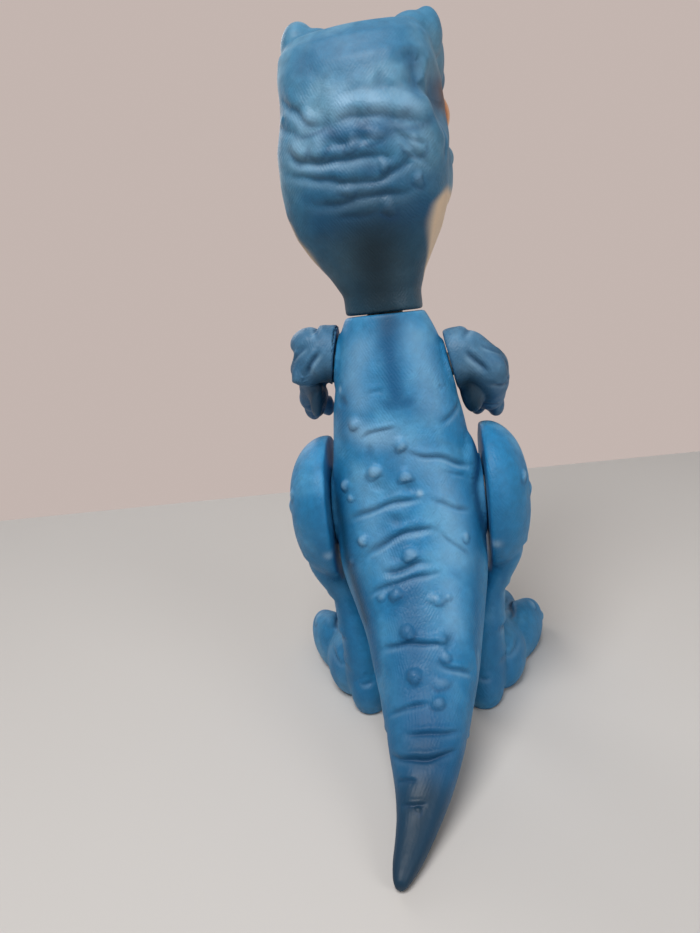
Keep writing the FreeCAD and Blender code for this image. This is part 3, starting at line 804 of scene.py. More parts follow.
@dataclass
class Torso:
    """Body and tail: bowed back with thin laps of skin and warts, airbrushed spine, flanks and tail, painted
    shade on the flanks, at the collar and at the tail's end, painted highlights on the back, cream belly.
    """

    vinyl: Material
    voxel: float = 0.55
    swells: tuple[float, float] = (0.12, 17.0)  # height and pitch of the cast skin's unevenness
    bores: tuple[Stopper, ...] = (
        Stopper((1.4, -6.8, 106), 6.4, 90),
        Stopper((13.1, -7.9, 96.5), 4.4, 11),
        Stopper((-11.6, -7.9, 92.6), 4.4, -11),
        Stopper((17.4, -7.9, 57.5), 6.6),
        Stopper((-17.4, -7.9, 57.5), 6.6),
    )
    haunches: tuple[tuple[Point, Point], ...] = (
        ((14.4, -4.6, 66), (5, 10, 11)),
        ((14.8, 1.4, 48), (4.5, 7, 8)),
    )
    back_folds: tuple[Fold, ...] = (
        Fold(((9.9, 7.8, 78.4), (7.6, 8.4, 80), (4.6, 8.8, 80.8), (0.2, 9, 80.9)), 0.5, 0.34, 0.22),
        Fold(
            ((-0.5, 10, 75.7), (-4, 10.1, 74.1), (-8.8, 9, 72.9), (-12.7, 6.9, 71), (-16.4, 2.4, 68.2)),
            0.6, 0.48, 0.28,
        ),
        Fold(((-9.3, 9.6, 69.5), (-12.5, 7.9, 68.4), (-15.3, 5.5, 66.5)), 0.5, 0.22, 0.12),
        Fold(((7.5, 6.6, 89.5), (5.4, 6.9, 90.3), (2.5, 7.3, 90.2)), 0.5, 0.16, 0.1),
        Fold(((-10.3, 3.6, 89.9), (-11.6, 2.6, 88.4)), 0.5, 0.2, 0.1),
        Fold(
            ((14.4, 9.9, 59.3), (12, 11.5, 60.5), (6.3, 13.1, 62.8), (1.3, 13.3, 63.9), (-4.8, 12.8, 64.1)),
            0.65, 0.5, 0.3,
        ),
        Fold(
            ((-5.6, 12.8, 63.6), (-8.5, 12.3, 62.7), (-11.7, 11.5, 60.6), (-15.8, 8.4, 58.5)),
            0.55, 0.36, 0.2,
        ),
        Fold(
            ((11.6, 15, 50.6), (7.1, 16, 53.7), (3.2, 16, 55.8), (-0.9, 15.7, 56.9), (-4.9, 15.3, 57.3),
             (-8.1, 14.9, 56)),
            0.7, 0.6, 0.34,
        ),
        Fold(((-7.4, 15, 56.2), (-11.3, 15.1, 52), (-14.8, 13.6, 48.9)), 0.5, 0.34, 0.16),
        Fold(
            ((7.5, 18, 48.3), (4.7, 18.9, 48.1), (1.4, 18.9, 49.1), (-1.9, 18.5, 50), (-5.1, 18.4, 49.5)),
            0.75, 0.62, 0.4,
        ),
        Fold(
            ((11.5, 17.9, 42.1), (4.9, 20.1, 45.6), (0.8, 20.2, 46.6), (-4, 19.7, 47.3), (-8, 18.8, 47.3)),
            0.6, 0.48, 0.3,
        ),
        Fold(((8.8, 26, 31.5), (4.6, 27.9, 33.5), (-2, 28.7, 34), (-8.1, 28.3, 32.8)), 0.6, 0.6, 0.34),
        Fold(((-4, 31.1, 30.6), (-7.7, 31.3, 28.9), (-12.4, 28.5, 25.5)), 0.55, 0.46, 0.26),
        Fold(((7.6, 35.6, 20.4), (3.8, 37.3, 22.7), (0, 37.3, 23.8), (-2.6, 36.9, 24.1)), 0.55, 0.5, 0.24),
        Fold(((4.5, 41, 19), (0.4, 42, 19.5), (-3.3, 41.7, 19.5), (-8.7, 38.8, 17.6)), 0.55, 0.52, 0.26),
        Fold(
            ((7.1, 41.7, 14.4), (5.1, 44.5, 15.3), (0.7, 45.8, 15.9), (-2.9, 45.2, 16.1), (-7.6, 41.8, 15.2)),
            0.6, 0.8, 0.4,
        ),
        Fold(((6.1, 47.1, 11.4), (3.8, 48.5, 12.9), (1.3, 48.8, 13.3)), 0.45, 0.34, 0.16),
        Fold(((5.2, 51.6, 9.4), (1.5, 52.8, 10.3), (-0.6, 52.2, 10.2)), 0.45, 0.36, 0.16),
    )
    side_folds: tuple[Fold, ...] = (
        Fold(((-9.8, 7.2, 81), (-13, 4, 82), (-14.6, -3, 84)), 0.7, 0.3, 0.2),
        Fold(
            ((-12.6, -14, 82), (-7, -22.4, 79), (0, -24.6, 78.4), (7, -22.4, 79), (12.6, -14, 82)),
            0.9, 0.6, 0.4,
        ),
        Fold(((-11.4, -20, 70), (-5, -26.4, 68), (5, -26.4, 68), (11.4, -20, 70)), 0.9, 0.6, 0.4),
        Fold(((-12, -21, 58.5), (-5, -26.8, 57), (5, -26.8, 57), (12, -21, 58.5)), 0.9, 0.6, 0.4),
        Fold(((-11, -16, 47), (-4, -20.6, 44), (4, -20.6, 44), (11, -16, 47)), 0.8, 0.5, 0.3),
        Fold(((-9.5, -12, 92.5), (-3, -20, 90), (5, -20, 90), (11.5, -12, 92.5)), 0.8, 0.5, 0.3),
        Fold(((-6, -9, 102), (-1.5, -16.6, 100), (4.5, -16.6, 100), (9, -9, 102)), 0.8, 0.4, 0.25),
        Fold(((12.6, 24, 26), (10.5, 31, 20)), 0.7, 0.4, 0.25),
        Fold(((-13.8, 27, 21), (-14, 24, 30)), 0.7, 0.4, 0.25),
        Fold(((8, 33, 12), (9.6, 36, 17)), 0.6, 0.3, 0.2),
        Fold(((-10, 37, 14), (-9.6, 32, 10)), 0.6, 0.3, 0.2),
    )
    warts: tuple[Bump, ...] = (
        Bump((11.1, 6.5, 82.4), 0.95, 0.2),
        Bump((-0.1, 9.8, 76.8), 1.12, 0.3),
        Bump((7, 10.4, 71.1), 1.55, 0.45),
        Bump((-0.6, 11.6, 69.5), 1.29, 0.32),
        Bump((15, 6.9, 67.4), 1.12, 0.3),
        Bump((13.6, 8.8, 64.4), 0.95, 0.3),
        Bump((11.3, 13.8, 54.9), 1.12, 0.3),
        Bump((-0.3, 17.5, 52), 1.38, 0.38),
        Bump((3.8, 21.2, 43.9), 1.12, 0.32),
        Bump((7.4, 20.4, 42.8), 1.03, 0.32),
        Bump((-5, 22.3, 42.3), 1.29, 0.3),
        Bump((-8, 21.6, 42.2), 0.95, 0.3),
        Bump((1.6, 26.4, 36.7), 1.29, 0.3),
        Bump((-6.4, 30, 31.6), 1.2, 0.4),
        Bump((1, 32.6, 28.7), 1.29, 0.26),
        Bump((-4.1, 37, 23.8), 1.12, 0.3),
        Bump((-4.8, 33.8, 27), 1.46, 0.28),
        Bump((1.6, 53.2, 10), 0.77, 0.25),
        Bump((14.6, 12, 49), 1.03, 0.3),
        Bump((-13.6, 12.4, 53.6), 1.12, 0.28),
        Bump((8, 9.2, 75.6), 1.7, -0.35),
        Bump((-1.2, 12.6, 66.9), 1.9, -0.45),
        Bump((2.5, 14.7, 59.8), 1.8, -0.4),
        Bump((-7.4, 27.9, 33.9), 1.9, -0.5),
        Bump((6.4, 11.6, 68), 1.8, -0.35),
        Bump((13.6, 2.7, 87.6), 1.8, -0.4),
    )
    # Painted highlights on the back (sheen patches and two small light spots, partly wear), a deeper airbrush
    # along the spine, flanks and tail, and painted shade on the flanks, at the tail's end and at the collar
    # under the head.
    sprays: tuple[Spray, ...] = (
        Spray("highlight_and_wear", ((7.6, 3.2, 100), (9.6, 3.6, 93), (9, 5.6, 88)), 3.6, 0.42),
        Spray("highlight_and_wear", ((-5.6, 3, 101), (-8, 4.6, 93), (-8.4, 6, 86)), 4.6, 0.34),
        Spray("highlight_and_wear", ((10.4, 6.9, 81.4), (7.4, 8.6, 79.6), (2.6, 9.2, 79)), 3.2, 0.62),
        Spray("highlight_and_wear", ((-1, 10, 76), (-7.4, 10.2, 70), (-10.4, 12, 60), (-10.4, 16.4, 50)), 4.6, 0.3),
        Spray("highlight_and_wear", ((9.8, 10.4, 70), (8.6, 13, 60), (6, 18, 50)), 3.4, 0.22),
        Spray("highlight_and_wear", ((-8.6, 20.6, 44), (-8.8, 25.6, 36)), 3, 0.3),
        Spray("deep_airbrush_and_shade", ((0.2, 3.4, 106), (0.8, 5, 100.7), (0.5, 6.6, 93.7), (0, 7.6, 88.4)), 2.8, 0.95),
        Spray("deep_airbrush_and_shade", ((2.1, 7.9, 87), (-2.7, 7.7, 87)), 1.9, 0.8),
        Spray("deep_airbrush_and_shade", ((-2, 7.9, 86), (-6, 7.6, 84)), 2.4, 0.35),
        Spray("deep_airbrush_and_shade", ((13.4, 3, 88), (15.4, 4, 80)), 3, 0.45),
        Spray("deep_airbrush_and_shade", ((2, 9.6, 79), (3, 12.6, 62), (2, 17, 52)), 3.2, 0.3),
        Spray("deep_airbrush_and_shade", ((16.8, 4, 66), (16.4, 8.5, 56), (15.4, 13, 47), (13, 20, 37), (10.6, 27, 28)), 4, 0.8),
        Spray("shade_and_dark_airbrush", ((17.4, 4, 62), (17.2, 8, 55), (16.6, 12, 47), (14.6, 19, 36)), 2.4, 0.55),
        Spray("deep_airbrush_and_shade", ((-17, 5, 62), (-17.2, 9.5, 52), (-15.6, 17, 41), (-13.6, 24, 31)), 3.2, 0.55),
        Spray("deep_airbrush_and_shade", ((1, 21, 44), (0.5, 31, 30), (0.6, 37, 23)), 5.6, 0.85),
        Spray("deep_airbrush_and_shade", ((0.5, 31, 30), (0.6, 37, 23)), 8.6, 0.8),
        Spray("deep_airbrush_and_shade", ((-1, 40, 20), (-0.6, 47, 13.6), (1.6, 55, 8.4), (5, 62, 4)), 9, 1),
        Spray("shade_and_dark_airbrush", ((0, 45, 15), (1, 50, 11)), 5.4, 0.45),
        Spray("shade_and_dark_airbrush", ((0.8, 51, 10.6), (3, 57, 7), (6, 64, 3)), 6.6, 0.85),
        Spray("shade_and_dark_airbrush", ((0.2, 3, 107.4), (0.4, 3.4, 106.4)), 5, 0.35),
        Spray("highlight_and_wear", ((-3.7, 12.5, 65.4),), 0.8, 1),
        Spray("highlight_and_wear", ((14.1, 1.2, 90.6),), 0.8, 1),
    )

    def build(self) -> None:
        """Makes the body's skin from its moulded piece."""
        strokes = list(self.back_folds + self.side_folds + self.warts + self.sprays)
        shape = stopped_copy("body_shell", self.bores)
        for side in (1.0, -1.0):
            for (across, back, up), half_axes in self.haunches:
                blob(shape, (side * across, back, up), half_axes)
        mesh = carved(drawn_over(shape, self.voxel), strokes, self.swells, self.paint)
        finished("body_skin", mesh, self.vinyl, "torso", "body_shell")

    def paint(self, carving: Carving) -> None:
        """Cream belly with a soft edge, and a smoother hide at the collar."""
        x, y, z = carving.points.T
        front = smooth_step(-carving.normals[:, 1], 0.28, 0.62)
        width = smooth_step(13.0 - np.abs(x), 0.0, 3.0)
        carving.masks["cream"] = np.maximum(carving.masks["cream"], front * width * smooth_step(z, 12.0, 20.0))
        carving.masks["hide"] *= 0.35 + 0.65 * smooth_step(105.0 - z, 0.0, 12.0)
        carving.masks["hide"] *= 0.3 + 0.7 * smooth_step(50.0 - y, 0.0, 14.0)


@dataclass
class Head:
    """Big head in its own frame: z up from the collar, y back from the neck's axis, then leaned and turned."""

    vinyl: Material
    lacquer: Material
    turn: float = -6.0
    tilt: float = -0.2
    lean: float = 3.0
    collar: Point = (1.473, PLUMB_Y, 107.5)
    voxel: float = 0.55
    swells: tuple[float, float] = (0.12, 15.0)
    mouth: float = 34.5
    hinge: Point = (0.0, -12.0, 31.5)
    skull: tuple[tuple[float, float, float, float], ...] = (
        (0.3, 9.7, 9.6, 9.7),
        (5, 9.5, 9.6, 10.6),
        (10, 10.9, 10.4, 14.6),
        (15, 13.4, 12, 18.6),
        (20, 15.9, 13.9, 21.6),
        (25.5, 17.7, 15.6, 23.8),
        (32, 18.6, 16.6, 25.2),
        (40, 19, 17, 26),
        (48, 18.4, 16.4, 26),
        (55, 17.5, 15, 25),
        (60.5, 16.7, 12.2, 23),
        (64, 14.4, 8.2, 19.4),
        (65.6, 10, 3.6, 14.4),
    )
    # how much further the left side goes out than the right, level by level
    fuller: tuple[float, ...] = (0.0, 0.3, 1.9, 3.3, 3.9, 3.9, 3.6, 3.0, 2.7, 2.7, 2.8, 2.4, 1.5)
    muzzle: tuple[tuple[float, float, float, float], ...] = (
        (-8, 17, 58, 27),
        (-20, 16.9, 56.6, 26),
        (-32, 16, 54, 26),
        (-42, 14.7, 51.6, 26.5),
        (-49.5, 12.4, 49, 28),
        (-54, 8.8, 46.4, 30),
        (-56, 4.4, 43.8, 33),
    )
    jaw: tuple[tuple[float, float, float], ...] = (
        (-12, 14, 13),
        (-20, 14.2, 14.2),
        (-28, 13.8, 16.4),
        (-36, 12.9, 19),
        (-44, 11.2, 22.2),
        (-49, 8.6, 25.4),
        (-51.8, 4.4, 28.8),
    )
    drum: tuple[float, float] = (14.0, 18.4)  # half width and radius of the jaw's rear
    swings: tuple[tuple[float, float], ...] = ((0.55, 0.0), (0.6, 21.0))  # room round the jaw at each opening
    jaw_fullness: float = 2.3
    # lids, cheeks and nostrils: centre, half size, rise and toe in degrees
    paired: tuple[tuple[Point, Point, float, float], ...] = (
        ((13.8, -22.5, 57.6), (4.2, 7, 3.6), 22, 12),
        ((14, -18, 38.6), (4.8, 9, 5.6), -12, 0),
        ((8.4, -46, 48.4), (4.4, 6.4, 3.8), 14, 14),
    )
    # brows, right cheek and crown: centre, half size and rise in degrees
    single: tuple[tuple[Point, Point, float], ...] = (
        ((14.6, -12, 61.6), (5.4, 12.8, 6.8), 10),
        ((14.8, -2.4, 63.4), (4.8, 6.6, 6.8), 0),
        ((10.8, -2.6, 62.4), (6.4, 7.4, 5.6), 0),
        ((-11.6, -3.6, 62.6), (6, 7, 5.4), 0),
        ((-14, -12, 61), (4.8, 12.8, 6.8), 14),
        ((-15.6, -4.5, 62.8), (3.7, 5.2, 6), 0),
        ((-15.2, -8, 33), (4, 8, 9), 0),
        ((0, -13, 61.2), (9, 12, 5.6), 0),
    )
    face: tuple[Stroke, ...] = (  # in the head's own frame, and mirrored
        Bump((7.6, -52.6, 47.4), 1.5, -1.6),
        Fold(((14, -44, 38.4), (16.4, -30, 38), (17.6, -19, 37)), 0.9, 0.5, 0.5),
        Fold(((8.6, -29, 55.4), (12.6, -33, 51)), 1, 0.5, 0.4),
        Fold(((16.6, -27.5, 44), (17.2, -20, 39.6), (18.6, -12, 42)), 1, 0.5, 0.4),
        Fold(((19.4, -6, 52), (18.6, -4, 58)), 1.2, 0.5, 0.3),
        Bump((4.6, -40, 53), 1.9, 0.7),
        Bump((4.6, -35, 54.2), 1.9, 0.7),
        Bump((4.6, -30, 55.2), 1.9, 0.7),
    )
    eye: Point = (11.0, -19.5, 48.6)
    eye_radius: float = 7.6
    eye_gap: float = 0.12
    gaze: Point = (0.83, -0.52, 0.16)  # where the left eye's pole looks
    cornea: float = 0.42  # how far the clear bulge reaches from the pole, in quarter turns
    cornea_height: float = 0.03
    eye_back: float = 10.4  # the dome starts this far from the head's middle
    temple: Point = (18.4, 4.6, 47.0)  # middle of the hollow behind each brow
    temple_radius: float = 7.0
    temple_depths: tuple[float, float] = (-0.8, -2.8)  # left and right
    wrinkles: tuple[tuple[float, float], ...] = ((-45.0, 51.5), (-38.0, 53.0), (-31.0, 54.6))  # on the snout
    folds: tuple[Fold, ...] = (
        Fold(
            ((6.3, 6.5, 155.6), (1.8, 7.1, 156.2), (-1, 7.3, 156.2), (-8.1, 6.8, 155.4), (-13.7, 4.7, 152.4)),
            1, 0.22, 0.17, 1.5,
        ),
        Fold(
            ((19.2, -2.4, 158.3), (15.4, 3.3, 153.6), (13.2, 5.1, 150.8), (8.5, 6.7, 149.8)),
            0.9, 0.47, 0.28, 2,
        ),
        Fold(
            ((10, 6.4, 150.2), (6.3, 7.3, 150.6), (2.3, 7.7, 151), (-4.1, 8.1, 150), (-9.6, 7.2, 148.9),
             (-14.2, 4.9, 147.9)),
            1.1, 0.55, 0.42, 2.2,
        ),
        Fold(((9.8, 6.6, 147.2), (6.4, 7.4, 145.6), (2.5, 8, 146.2), (-1.8, 8.2, 144.8)), 0.9, 0.35, 0.14, 2),
        Fold(
            ((19.6, 0.2, 148.2), (17.4, 2.6, 144.9), (14.2, 4.9, 143), (8, 7.1, 142.4), (3.3, 7.9, 142.4),
             (-1.7, 8.3, 142.2), (-6, 8.2, 141)),
            0.9, 0.58, 0.32, 2,
        ),
        Fold(
            ((20.3, -1.5, 143), (16, 3.4, 140.4), (12.3, 5.7, 139.2), (5.6, 7.2, 137.6), (-0.9, 7.9, 137.4),
             (-4.8, 8.2, 138.8), (-8.8, 7.4, 140.2), (-13, 5.2, 142.4)),
            0.8, 0.43, 0.21, 1.9,
        ),
        Fold(
            ((15.6, 3.2, 135.4), (12.6, 5, 133.9), (6.7, 6.7, 133.7), (2.1, 7.3, 134.4), (-5.9, 7.1, 133.9),
             (-9.6, 6.4, 135)),
            0.9, 0.47, 0.21, 1.9,
        ),
        Fold(
            ((-4, 8.2, 148.4), (-7.5, 7.8, 144.9), (-10.5, 6.9, 141.8), (-14.4, 4.4, 138.3)),
            0.7, 0.27, 0.17, 1.6,
        ),
        Fold(((-5.6, 8, 146.4), (-9.6, 7.2, 144.6), (-14, 4.8, 143.9)), 0.6, 0.23, 0.14, 1.6),
        Fold(((10.6, 5.8, 130.8), (4.8, 6.2, 130.2), (-1, 6.3, 130.6)), 0.9, 0.22, 0.1, 1.8),
        Fold(((20.6, -4, 153), (18.6, -0.4, 151.4), (15.8, 3.6, 149)), 0.8, 0.27, 0.14, 1.8),
        Fold(((-16.4, 1.2, 152.5), (-17.8, -2.4, 146), (-17, -0.6, 140)), 1, 0.27, 0.17, 1.5),
    )
    bumps: tuple[Bump, ...] = (
        Bump((5, 7.1, 153.4), 4.4, 0.45),
        Bump((-2, 7.6, 153), 4.6, 0.5),
        Bump((-9, 6.9, 152), 4, 0.35),
        Bump((13.5, 4.7, 151.6), 2.6, 0.45),
        Bump((11.2, 6.2, 147), 2.4, 0.5),
        Bump((3.8, 7.8, 145.9), 1.6, 0.4),
        Bump((-0.9, 8.1, 146.6), 1.8, 0.45),
        Bump((16.2, 3.4, 147), 2.2, 0.35),
        Bump((-9.6, 7, 144.4), 2.4, 0.3),
        Bump((6.3, 7.1, 136.3), 1.5, 0.5),
        Bump((-2.4, 7.1, 131.4), 1.7, 0.5),
        Bump((-10.1, 6.7, 136.7), 1.5, 0.45),
        Bump((-2.4, 8.3, 140.6), 1.3, 0.4),
        Bump((-7.8, 7.7, 140.9), 1.7, -0.45),
        Bump((0.8, 8, 139.6), 2.4, -0.3),
        Bump((-3.3, 7.1, 157.4), 1.8, -0.3),
        Bump((-11.8, 4.2, 161.4), 3.6, -1.1),
        Bump((-12.2, 4.9, 157), 3.4, -0.9),
        Bump((13, 1.6, 163.6), 3.6, -0.35),
    )
    # Paint: a deeper tone over the crown; painted shade along the wrinkles, in the temple dents, low on the back
    # of the head and on the neck under the head's overhang; painted highlights on the bulges.
    sprays: tuple[Spray, ...] = (
        Spray("deep_airbrush_and_shade", ((9, 2.4, 166), (-7, 3, 165)), 7, 0.3),
        Spray("deep_airbrush_and_shade", ((9.4, 6.5, 148.2), (3, 8, 148.4), (-3.4, 8.2, 148.2)), 1.9, 0.6),
        Spray("deep_airbrush_and_shade", ((9, 6.8, 144.4), (-2, 8.3, 144.2)), 2.2, 0.4),
        Spray("deep_airbrush_and_shade", ((12, 5.8, 139.8), (0, 8, 139.4), (-6, 8.1, 139.4)), 2.2, 0.45),
        Spray("deep_airbrush_and_shade", ((15, 3.6, 136), (6, 6.8, 135), (-8, 6.9, 136), (-14, 4, 136)), 3, 0.5),
        Spray("deep_airbrush_and_shade", ((-11.8, 4.6, 161.6), (-12.2, 5, 155.6)), 3, 0.5),
        Spray("deep_airbrush_and_shade", ((13, 4.6, 130), (0, 6.6, 129), (-11, 4.6, 130)), 5, 0.8),
        Spray("shade_and_dark_airbrush", ((12, 3, 127), (1.9, 5.3, 126.4), (-9, 3, 126.6)), 5.4, 0.6),
        Spray("shade_and_dark_airbrush", ((1.8, 3.8, 122), (1.8, 2.2, 113)), 15, 1),
        Spray("highlight_and_wear", ((18, 0.6, 146.6), (12, 5.6, 146.4)), 2.2, 0.35),
        Spray("highlight_and_wear", ((5, 7.1, 154), (-6, 7.3, 153.6)), 2.2, 0.35),
        Spray("highlight_and_wear", ((-7, 7.6, 146), (-12.6, 5.6, 145.6)), 2.6, 0.3),
    )

    def place(self) -> Matrix:
        """Matrix from the head's own frame to the toy's."""
        turned = Matrix.Rotation(math.radians(self.turn), 4, "Z")
        tilted = Matrix.Rotation(math.radians(self.tilt), 4, "Y")
        leaned = Matrix.Rotation(math.radians(self.lean), 4, "X")
        return Matrix.Translation(self.collar) @ leaned @ tilted @ turned

    def at(self, point: Point, side: float = 1.0) -> Point:
        """A point of the head's own frame in the toy's, mirrored first where side is -1."""
        x, y, z = point
        return tuple(self.place() @ Vector((side * x, y, z)))

    def local(self, points: np.ndarray) -> np.ndarray:
        """The toy's points in the head's own frame, one per row."""
        back = self.place().inverted()
        return points @ np.array(back.to_3x3()).T + np.array(back.translation)

    def muzzle_form(self, inset: float, low: float, high: float) -> BMesh:
        """The snout between two heights.

        Args:
            inset: how much smaller than the skin.
            low: bottom of the kept part.
            high: top of the kept part.

        Returns:
            A working mesh.
        """
        part = bmesh.new()
        outlines = []
        for y, wide, top, bottom in self.muzzle:
            half = (top - bottom) / 2.0 - inset
            outlines.append(ring(part, (0, y, (top + bottom) / 2.0), (wide - inset, half, half), 2.9))
        lofted(part, outlines)
        sliced(part, (0, 0, low), (0, 0, -1))
        sliced(part, (0, 0, high), (0, 0, 1))
        bmesh.ops.recalc_face_normals(part, faces=part.faces)
        return part

    def drum_form(self, spare: float) -> BMesh:
        """Rounded form about the hinge that the jaw's rear has, with room all round it."""
        part = bmesh.new()
        outlines = []
        wide, radius = self.drum[0] + spare, self.drum[1] + spare
        steps = 24
        for step in range(steps + 1):
            x = -wide + 2.0 * wide * step / steps
            reach = radius * max(1.0 - abs(x / wide) ** self.jaw_fullness, 0.0004) ** (1.0 / self.jaw_fullness)
            outlines.append(ring(part, (x, *self.hinge[1:]), (reach,) * 3, 2.0, Y_AXIS, Z_AXIS))
        return lofted(part, outlines)

    def mouth_room(self) -> Mesh:
        """Space of the mouth: round the jaw, shut and open, and up to the palate."""
        shape = bmesh.new()
        for spare, opened in self.swings:
            part = bmesh.new()
            wide, radius = self.drum[0] + spare, self.drum[1] + spare
            places = [(0, y, self.hinge[2]) for y in (-12.0, -25.0, -40.0, -62.0)]
            lofted(part, [ring(part, place, (wide, radius, radius), self.jaw_fullness) for place in places])
            matrix = Matrix.Rotation(math.radians(opened), 3, "X")
            bmesh.ops.rotate(part, cent=self.hinge, matrix=matrix, verts=part.verts)
            append(shape, part)
            append(shape, self.drum_form(spare))
        sliced(shape, (0, 0, self.mouth), (0, 0, 1))
        inner = self.muzzle_form(2.3, self.mouth - 3.0, self.mouth + 4.4)
        sliced(inner, (0, -50.5, 0), (0, -1, 0))
        append(shape, inner)
        return drawn_over(shape, 0.5, 1)

    def head_form(self) -> BMesh:
        """Skull, snout, brows, cheeks and lids as overlapping forms."""
        shape = bmesh.new()
        outlines = []
        for (z, wide, behind, front), more in zip(self.skull, self.fuller):
            sizes = (wide + more / 2.0, behind, front)
            outlines.append(ring(shape, (more / 2.0, 0, z), sizes, 2.5, X_AXIS, Y_AXIS))
        lofted(shape, outlines)
        append(shape, self.muzzle_form(0.0, self.mouth, 90.0))
        for side in (1.0, -1.0):
            for (x, y, z), half_axes, rise, toe in self.paired:
                blob(shape, (side * x, y, z), half_axes, (rise, 0.0, -side * toe))
        for centre, half_axes, rise in self.single:
            blob(shape, centre, half_axes, (rise, 0.0, 0.0))
        return shape

    def build(self) -> None:
        """Makes the head's skin and both eyes."""
        mesh = drawn_over(self.head_form(), self.voxel, 6)
        x, y, z = self.eye
        sockets = [lump((side * x, y, z), (self.eye_radius + self.eye_gap,) * 3) for side in (1.0, -1.0)]
        mesh = cut_out(mesh, [self.mouth_room()] + sockets)
        mesh.transform(self.place())
        strokes = list(self.folds + self.bumps + self.sprays) + self.own_strokes()
        carved(mesh, strokes, self.swells, self.paint)
        finished("head_skin", mesh, self.vinyl, "head", "head_shell")
        self.eyeball(1.0)
        self.eyeball(-1.0)

    def own_strokes(self) -> list[Stroke]:
        """Nostrils, snout wrinkles, lids and lip, given in the head's frame."""
        strokes: list[Stroke] = []
        for side, depth in zip((1.0, -1.0), self.temple_depths):
            strokes += [moved(stroke, lambda point: self.at(point, side)) for stroke in self.face]
            strokes.append(Bump(self.at(self.temple, side), self.temple_radius, depth))
        for y, z in self.wrinkles:
            wrinkle = Fold(((6.0, y, z), (0.0, y - 1.4, z + 0.6), (-6.0, y, z)), 0.9, 0.45, 0.3)
            strokes.append(moved(wrinkle, self.at))
        return strokes

    def paint(self, carving: Carving) -> None:
        """Cream throat and cheeks below the mouth line, painted shade inside the upper lip, an amber streak
        behind each eye and a smoother crown.
        """
        x, y, z = self.local(carving.points).T
        rear = np.where(x > 0.0, 8.8 * smooth_step(z, 4.0, 17.0), 10.0 * smooth_step(z, 6.0, 21.0))
        rear -= 5.0 * smooth_step(z, 23.0, 29.0)
        below = 29.5 - z - 1.6 * smooth_step(y, -4.0, 9.0)
        throat = smooth_step(rear - y, 0.0, 4.0) * smooth_step(below, 0.0, 3.0)
        carving.masks["cream"] = np.maximum(carving.masks["cream"], throat)
        # Painted shade on the inward-facing skin under the upper lip, inside the mouth.
        lengths, sides = np.array([(-row[0], row[1]) for row in self.muzzle]).T
        inside = (np.abs(x) < np.interp(-y, lengths, sides) - 2.4) & (y < -14.0) & (y > -52.0)
        inward = carving.normals @ np.array(self.place().to_3x3() @ Z_AXIS) < 0.2
        roof = inside & inward & (z > 34.6) & (z < 39.2)
        carving.masks["crease_shade"] = np.where(roof, 1.0, carving.masks["crease_shade"])
        tall = 5.2 + 1.2 * smooth_step(-y, 10.0, 20.0)
        streak = np.exp(-(((z - 49.4) / tall) ** 2) * 1.4)
        streak = streak * smooth_step(-y, -6.5, 6.0) * smooth_step(y, -27.0, -22.0)
        carving.masks["amber"] = 0.9 * streak * smooth_step(np.abs(x), 11.0, 14.0)
        carving.masks["hide"] *= 0.25 + 0.55 * smooth_step(56.0 - z, 0.0, 12.0)

    def eyeball(self, side: float) -> None:
        """One eye, whose pole looks outwards and forwards.

        Args:
            side: 1 for left, -1 for right.
        """
        shape = bmesh.new()
        bmesh.ops.create_uvsphere(shape, u_segments=48, v_segments=32, radius=self.eye_radius)
        x, y, z = self.gaze
        gaze = Vector((side * x, y, z)).normalized()
        layer = shape.verts.layers.float.new("gaze")
        for vertex in shape.verts:
            value = math.acos(max(-1.0, min(1.0, vertex.co.z / self.eye_radius))) / (math.pi / 2.0)
            vertex[layer] = value
            vertex.co *= 1.0 + self.cornea_height * max(0.0, 1.0 - (value / self.cornea) ** 2)
        matrix = Z_AXIS.rotation_difference(gaze).to_matrix()
        bmesh.ops.rotate(shape, cent=(0, 0, 0), matrix=matrix, verts=shape.verts)
        x, y, z = self.eye
        bmesh.ops.translate(shape, vec=(side * x, y, z), verts=shape.verts)
        sliced(shape, (side * self.eye_back, 0, 0), (-side, 0, 0))
        bmesh.ops.recalc_face_normals(shape, faces=shape.faces)
        bmesh.ops.transform(shape, matrix=self.place(), verts=shape.verts)
        node = "eye_left" if side > 0 else "eye_right"
        finished(f"{node}_dome", to_mesh(shape, node), self.lacquer, "head", node)


